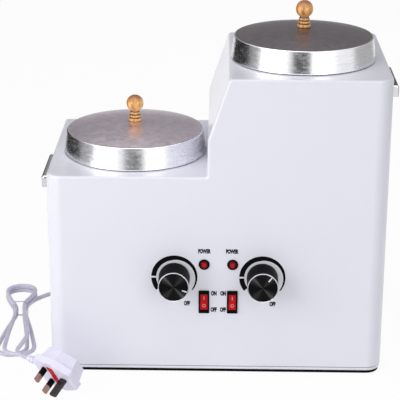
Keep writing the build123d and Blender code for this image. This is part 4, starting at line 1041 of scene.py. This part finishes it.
class WARMER_OT_print(bpy.types.Operator):
    """Printed dial bands and captions on the panel"""

    bl_idname = "warmer.print"
    bl_label = "Panel print"

    def print_on_panel(self, name, bm, thickness):
        """Gives flat print its thickness, outwards from the panel, and its ink."""
        if "panel_ink" not in bpy.data.materials:
            black_finish("panel_ink", 0.7)
        thicken(bm, OUTWARD * thickness)
        finished(name, bm, "housing", "black_plastic", bpy.data.materials["panel_ink"])

    def band(self, context, side):
        """Band round a knob, spun at an even width and then narrowed towards its end."""
        sizes = context.scene.warmer_sizes
        centre = span(f"{side}_knob")[2]
        centre.y = PANEL_Y
        bm = bmesh.new()
        for start, end in BAND_ARCS:
            out = Vector((cos(radians(start)), 0, sin(radians(start)))) * sizes.band_radius
            ends = [bm.verts.new(centre + out), bm.verts.new(centre + out * BAND_BLANK)]
            bmesh.ops.spin(
                bm,
                geom=[*ends, bm.edges.new(ends)],
                cent=centre,
                axis=(0, 1, 0),
                angle=radians(start - end),
                steps=int((start - end) / BAND_STEP),
            )
        for vert in bm.verts:
            out = vert.co - centre
            if out.length < sizes.band_radius * (1 + BAND_BLANK) / 2:
                angle = (degrees(atan2(out.z, out.x)) - BAND_OPEN) % 360 + BAND_OPEN
                share = min(max((BAND_NARROWS - angle) / (BAND_NARROWS - BAND_ENDS), 0), 1)
                width = sizes.band_wide + (sizes.band_thin - sizes.band_wide) * share
                vert.co = centre + out.normalized() * (sizes.band_radius - width)
        self.print_on_panel(f"{side}_dial_band", bm, sizes.ink)

    def caption(self, context, name, words, across, height, size):
        """Bold letters of a width and a height, round a place on the panel."""
        curve = bpy.data.curves.new(name, "FONT")
        curve.body = words
        curve.resolution_u = 3
        curve.offset = CAPTION_BOLDNESS
        text = linked(name, curve)
        context.view_layer.update()
        flat = bpy.data.meshes.new_from_object(text)
        bpy.data.objects.remove(text)
        bm = bmesh.new()
        bm.from_mesh(flat)
        bpy.data.meshes.remove(flat)
        low = Vector([min(vert.co[axis] for vert in bm.verts) for axis in range(3)])
        high = Vector([max(vert.co[axis] for vert in bm.verts) for axis in range(3)])
        wide, tall = size[0] * MM / (high.x - low.x), size[1] * MM / (high.y - low.y)
        bmesh.ops.translate(bm, vec=-(low + high) / 2, verts=bm.verts)
        bmesh.ops.scale(bm, vec=(wide, tall, 1), verts=bm.verts)
        bmesh.ops.rotate(bm, matrix=Matrix.Rotation(radians(90), 3, "X"), verts=bm.verts)
        bmesh.ops.translate(bm, vec=(across * MM, PANEL_Y, height * MM), verts=bm.verts)
        self.print_on_panel(name, bm, context.scene.warmer_sizes.ink)

    def execute(self, context):
        for side in SIDES:
            self.band(context, side)
        for places, column in CAPTIONS:
            for side, across in zip(SIDES, places):
                for name, words, height, size in column:
                    self.caption(context, f"{side}_{name}", words, across, height, size)
        return {"FINISHED"}


# Rockers: their marks, and the soft edges of rocker and frame
MARK_PALE = (0.86, 0.36, 0.32)
MARK_THICKNESS = 0.1 * MM
ON_BAR = (0.7 * MM, 4.4 * MM)
OFF_INNER, OFF_OUTER = 1.3 * MM, 1.9 * MM
ROCKER_BEVEL = 0.35 * MM
FRAME_BEVEL = 0.2 * MM


class WARMER_OT_switches(bpy.types.Operator):
    """Rockers with their marks, in softly edged frames"""

    bl_idname = "warmer.switches"
    bl_label = "Rocker switches"

    def face(self, side, upper):
        """Centre and outward direction of the upper or lower half of a rocker's front."""
        middle = span(f"{side}_rocker")[2].z
        centre, normal, total = Vector(), Vector(), 0.0
        for polygon in NODES[f"{side}_rocker"].data.polygons:
            if polygon.normal.y < -0.85 and (polygon.center.z > middle) == upper:
                centre += polygon.center * polygon.area
                normal += polygon.normal * polygon.area
                total += polygon.area
        return centre / total, normal.normalized()

    def mark(self, side, name, bm, upper):
        """Lays a mark that was made flat in the XY plane on one half of the rocker's front."""
        centre, normal = self.face(side, upper)
        turn = Matrix((RIGHT, normal.cross(RIGHT), normal)).transposed()
        bmesh.ops.rotate(bm, matrix=turn, verts=bm.verts)
        bmesh.ops.translate(bm, vec=centre, verts=bm.verts)
        pale = plastic_finish(f"{side}_{name}", MARK_PALE, 0.3)
        finished(f"{side}_{name}", bm, f"{side}_rocker", "white_print", pale)

    def execute(self, context):
        corners = ((OFF_INNER, 1), (OFF_OUTER, 1), (OFF_OUTER, -1), (OFF_INNER, -1), (OFF_INNER, 1))
        section = [(radius, level * MARK_THICKNESS) for radius, level in corners]
        for side in SIDES:
            dressed_copy(f"{side}_rocker", bevel=ROCKER_BEVEL, sharp=20)
            dressed_copy(f"{side}_switch_body", bevel=FRAME_BEVEL, sharp=40)
            bar = bmesh.new()
            bmesh.ops.create_cube(bar, size=1)
            bmesh.ops.scale(bar, vec=(*ON_BAR, 2 * MARK_THICKNESS), verts=bar.verts)
            self.mark(side, "on_mark", bar, True)
            self.mark(side, "off_mark", turned(section, Vector(), UP, 32), False)
        return {"FINISHED"}


# Lamp lenses: height of the dome and of the straight part below it, and steps of the turn
LENS_RISE = 2.0 * MM
LENS_SEAT = 1.0 * MM
LENS_STEPS = 48


class WARMER_OT_lamps(bpy.types.Operator):
    """Indicator lamps with domed lenses"""

    bl_idname = "warmer.lamps"
    bl_label = "Lamps"

    def execute(self, context):
        for side in SIDES:
            low, high, centre = span(f"{side}_lamp_lens")
            centre.y = PANEL_Y
            radius = (high.x - low.x) / 2
            tip = PANEL_Y - low.y
            seat = tip - LENS_RISE - LENS_SEAT
            profile = dome(tip, radius, LENS_RISE, radius, LENS_STEPS // 4)
            profile += [(radius, seat), (0, seat)]
            bm = turned(profile, centre, OUTWARD, LENS_STEPS)
            red = lens_finish(f"{side}_lens", tuple(centre + OUTWARD * tip))
            lens = finished(f"{side}_lens_dome", bm, "housing", "red_lens", red)
            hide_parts(f"{side}_lamp_lens")
            dressed_copy(f"{side}_lamp_bezel")
        return {"FINISHED"}


# Plug: soft edges, how much brighter it is than the lead, and its earth pin, brass painted dark as a painted
# reflection
PLUG_BEVEL = 0.25 * MM
# The plug is lifted back to white over the lead's painted shade.
PLUG_BRIGHTER = 1.36
EARTH_PIN_PAINTED_DARK = (0.06, 0.05, 0.05)


class WARMER_OT_plug(bpy.types.Operator):
    """Plug, sleeves, gland and tie shaded smooth, with softened edges on the pins, their sleeves and the
    fuse carrier
    """

    bl_idname = "warmer.plug"
    bl_label = "Plug"

    def execute(self, context):
        lead = context.scene.warmer_colours.lead
        white = plastic_finish("plug_white", shade(lead, PLUG_BRIGHTER), 0.32)
        for node in ("plug_body", "plug_sleeve"):
            dressed_copy(node, material=white)
        for node in ("cord_gland", "cord_tie"):
            dressed_copy(node)
        for node in ("plug_line_pins", "plug_pin_sleeves", "fuse_carrier"):
            dressed_copy(node, bevel=PLUG_BEVEL)
        # The earth pin's brass is painted nearly black: a painted dark reflection.
        dark = metal_finish("earth_pin", EARTH_PIN_PAINTED_DARK, 0.22)
        dressed_copy("plug_earth_pin", bevel=PLUG_BEVEL, material=dark)
        return {"FINISHED"}


class WARMER_OT_fittings(bpy.types.Operator):
    """Handles, pots, screws and feet with smooth curves"""

    bl_idname = "warmer.fittings"
    bl_label = "Handles and fittings"

    def execute(self, context):
        # Only the right handle gets the painted dark reflection on its top.
        top = max(vert.co.z for vert in NODES["right_handle"].data.vertices)
        dressed_copy("right_handle", material=painted_dark_top_steel_finish(top))
        for node in ("left_handle", "low_pot", "high_pot", "housing_screws", "rubber_feet"):
            dressed_copy(node)
        return {"FINISHED"}


class WARMER_PT_panel(bpy.types.Panel):
    """Lists the pieces and their values"""

    bl_idname = "WARMER_PT_panel"
    bl_label = "Wax warmer"
    bl_space_type = "VIEW_3D"
    bl_region_type = "UI"
    bl_category = "Warmer"

    def draw(self, context):
        for operator in OPERATORS:
            self.layout.operator(operator.bl_idname)
        for values in GROUPS:
            group = getattr(context.scene, values)
            box = self.layout.box()
            for name in group.bl_rna.properties.keys():
                if name not in ("rna_type", "name"):
                    box.prop(group, name)


GROUPS = {
    "warmer_camera": WARMER_PG_camera,
    "warmer_light": WARMER_PG_light,
    "warmer_colours": WARMER_PG_colours,
    "warmer_sizes": WARMER_PG_sizes,
}
OPERATORS = (
    WARMER_OT_stage,
    WARMER_OT_finishes,
    WARMER_OT_plug,
    WARMER_OT_lead,
    WARMER_OT_housing,
    WARMER_OT_lids,
    WARMER_OT_pulls,
    WARMER_OT_knobs,
    WARMER_OT_print,
    WARMER_OT_switches,
    WARMER_OT_lamps,
    WARMER_OT_fittings,
)


def register():
    for name, group in GROUPS.items():
        bpy.utils.register_class(group)
        setattr(bpy.types.Scene, name, PointerProperty(type=group))
    for operator in OPERATORS:
        bpy.utils.register_class(operator)
    bpy.utils.register_class(WARMER_PT_panel)


def unregister():
    bpy.utils.unregister_class(WARMER_PT_panel)
    for operator in reversed(OPERATORS):
        bpy.utils.unregister_class(operator)
    for name, group in reversed(GROUPS.items()):
        delattr(bpy.types.Scene, name)
        bpy.utils.unregister_class(group)


def main():
    register()
    bpy.ops.warmer.stage()
    bpy.ops.warmer.finishes()
    bpy.ops.warmer.plug()
    bpy.ops.warmer.lead()
    bpy.ops.warmer.housing()
    bpy.ops.warmer.lids()
    bpy.ops.warmer.pulls()
    bpy.ops.warmer.knobs()
    bpy.ops.warmer.print()
    bpy.ops.warmer.switches()
    bpy.ops.warmer.lamps()
    bpy.ops.warmer.fittings()


if __name__ == "__main__":
    main()
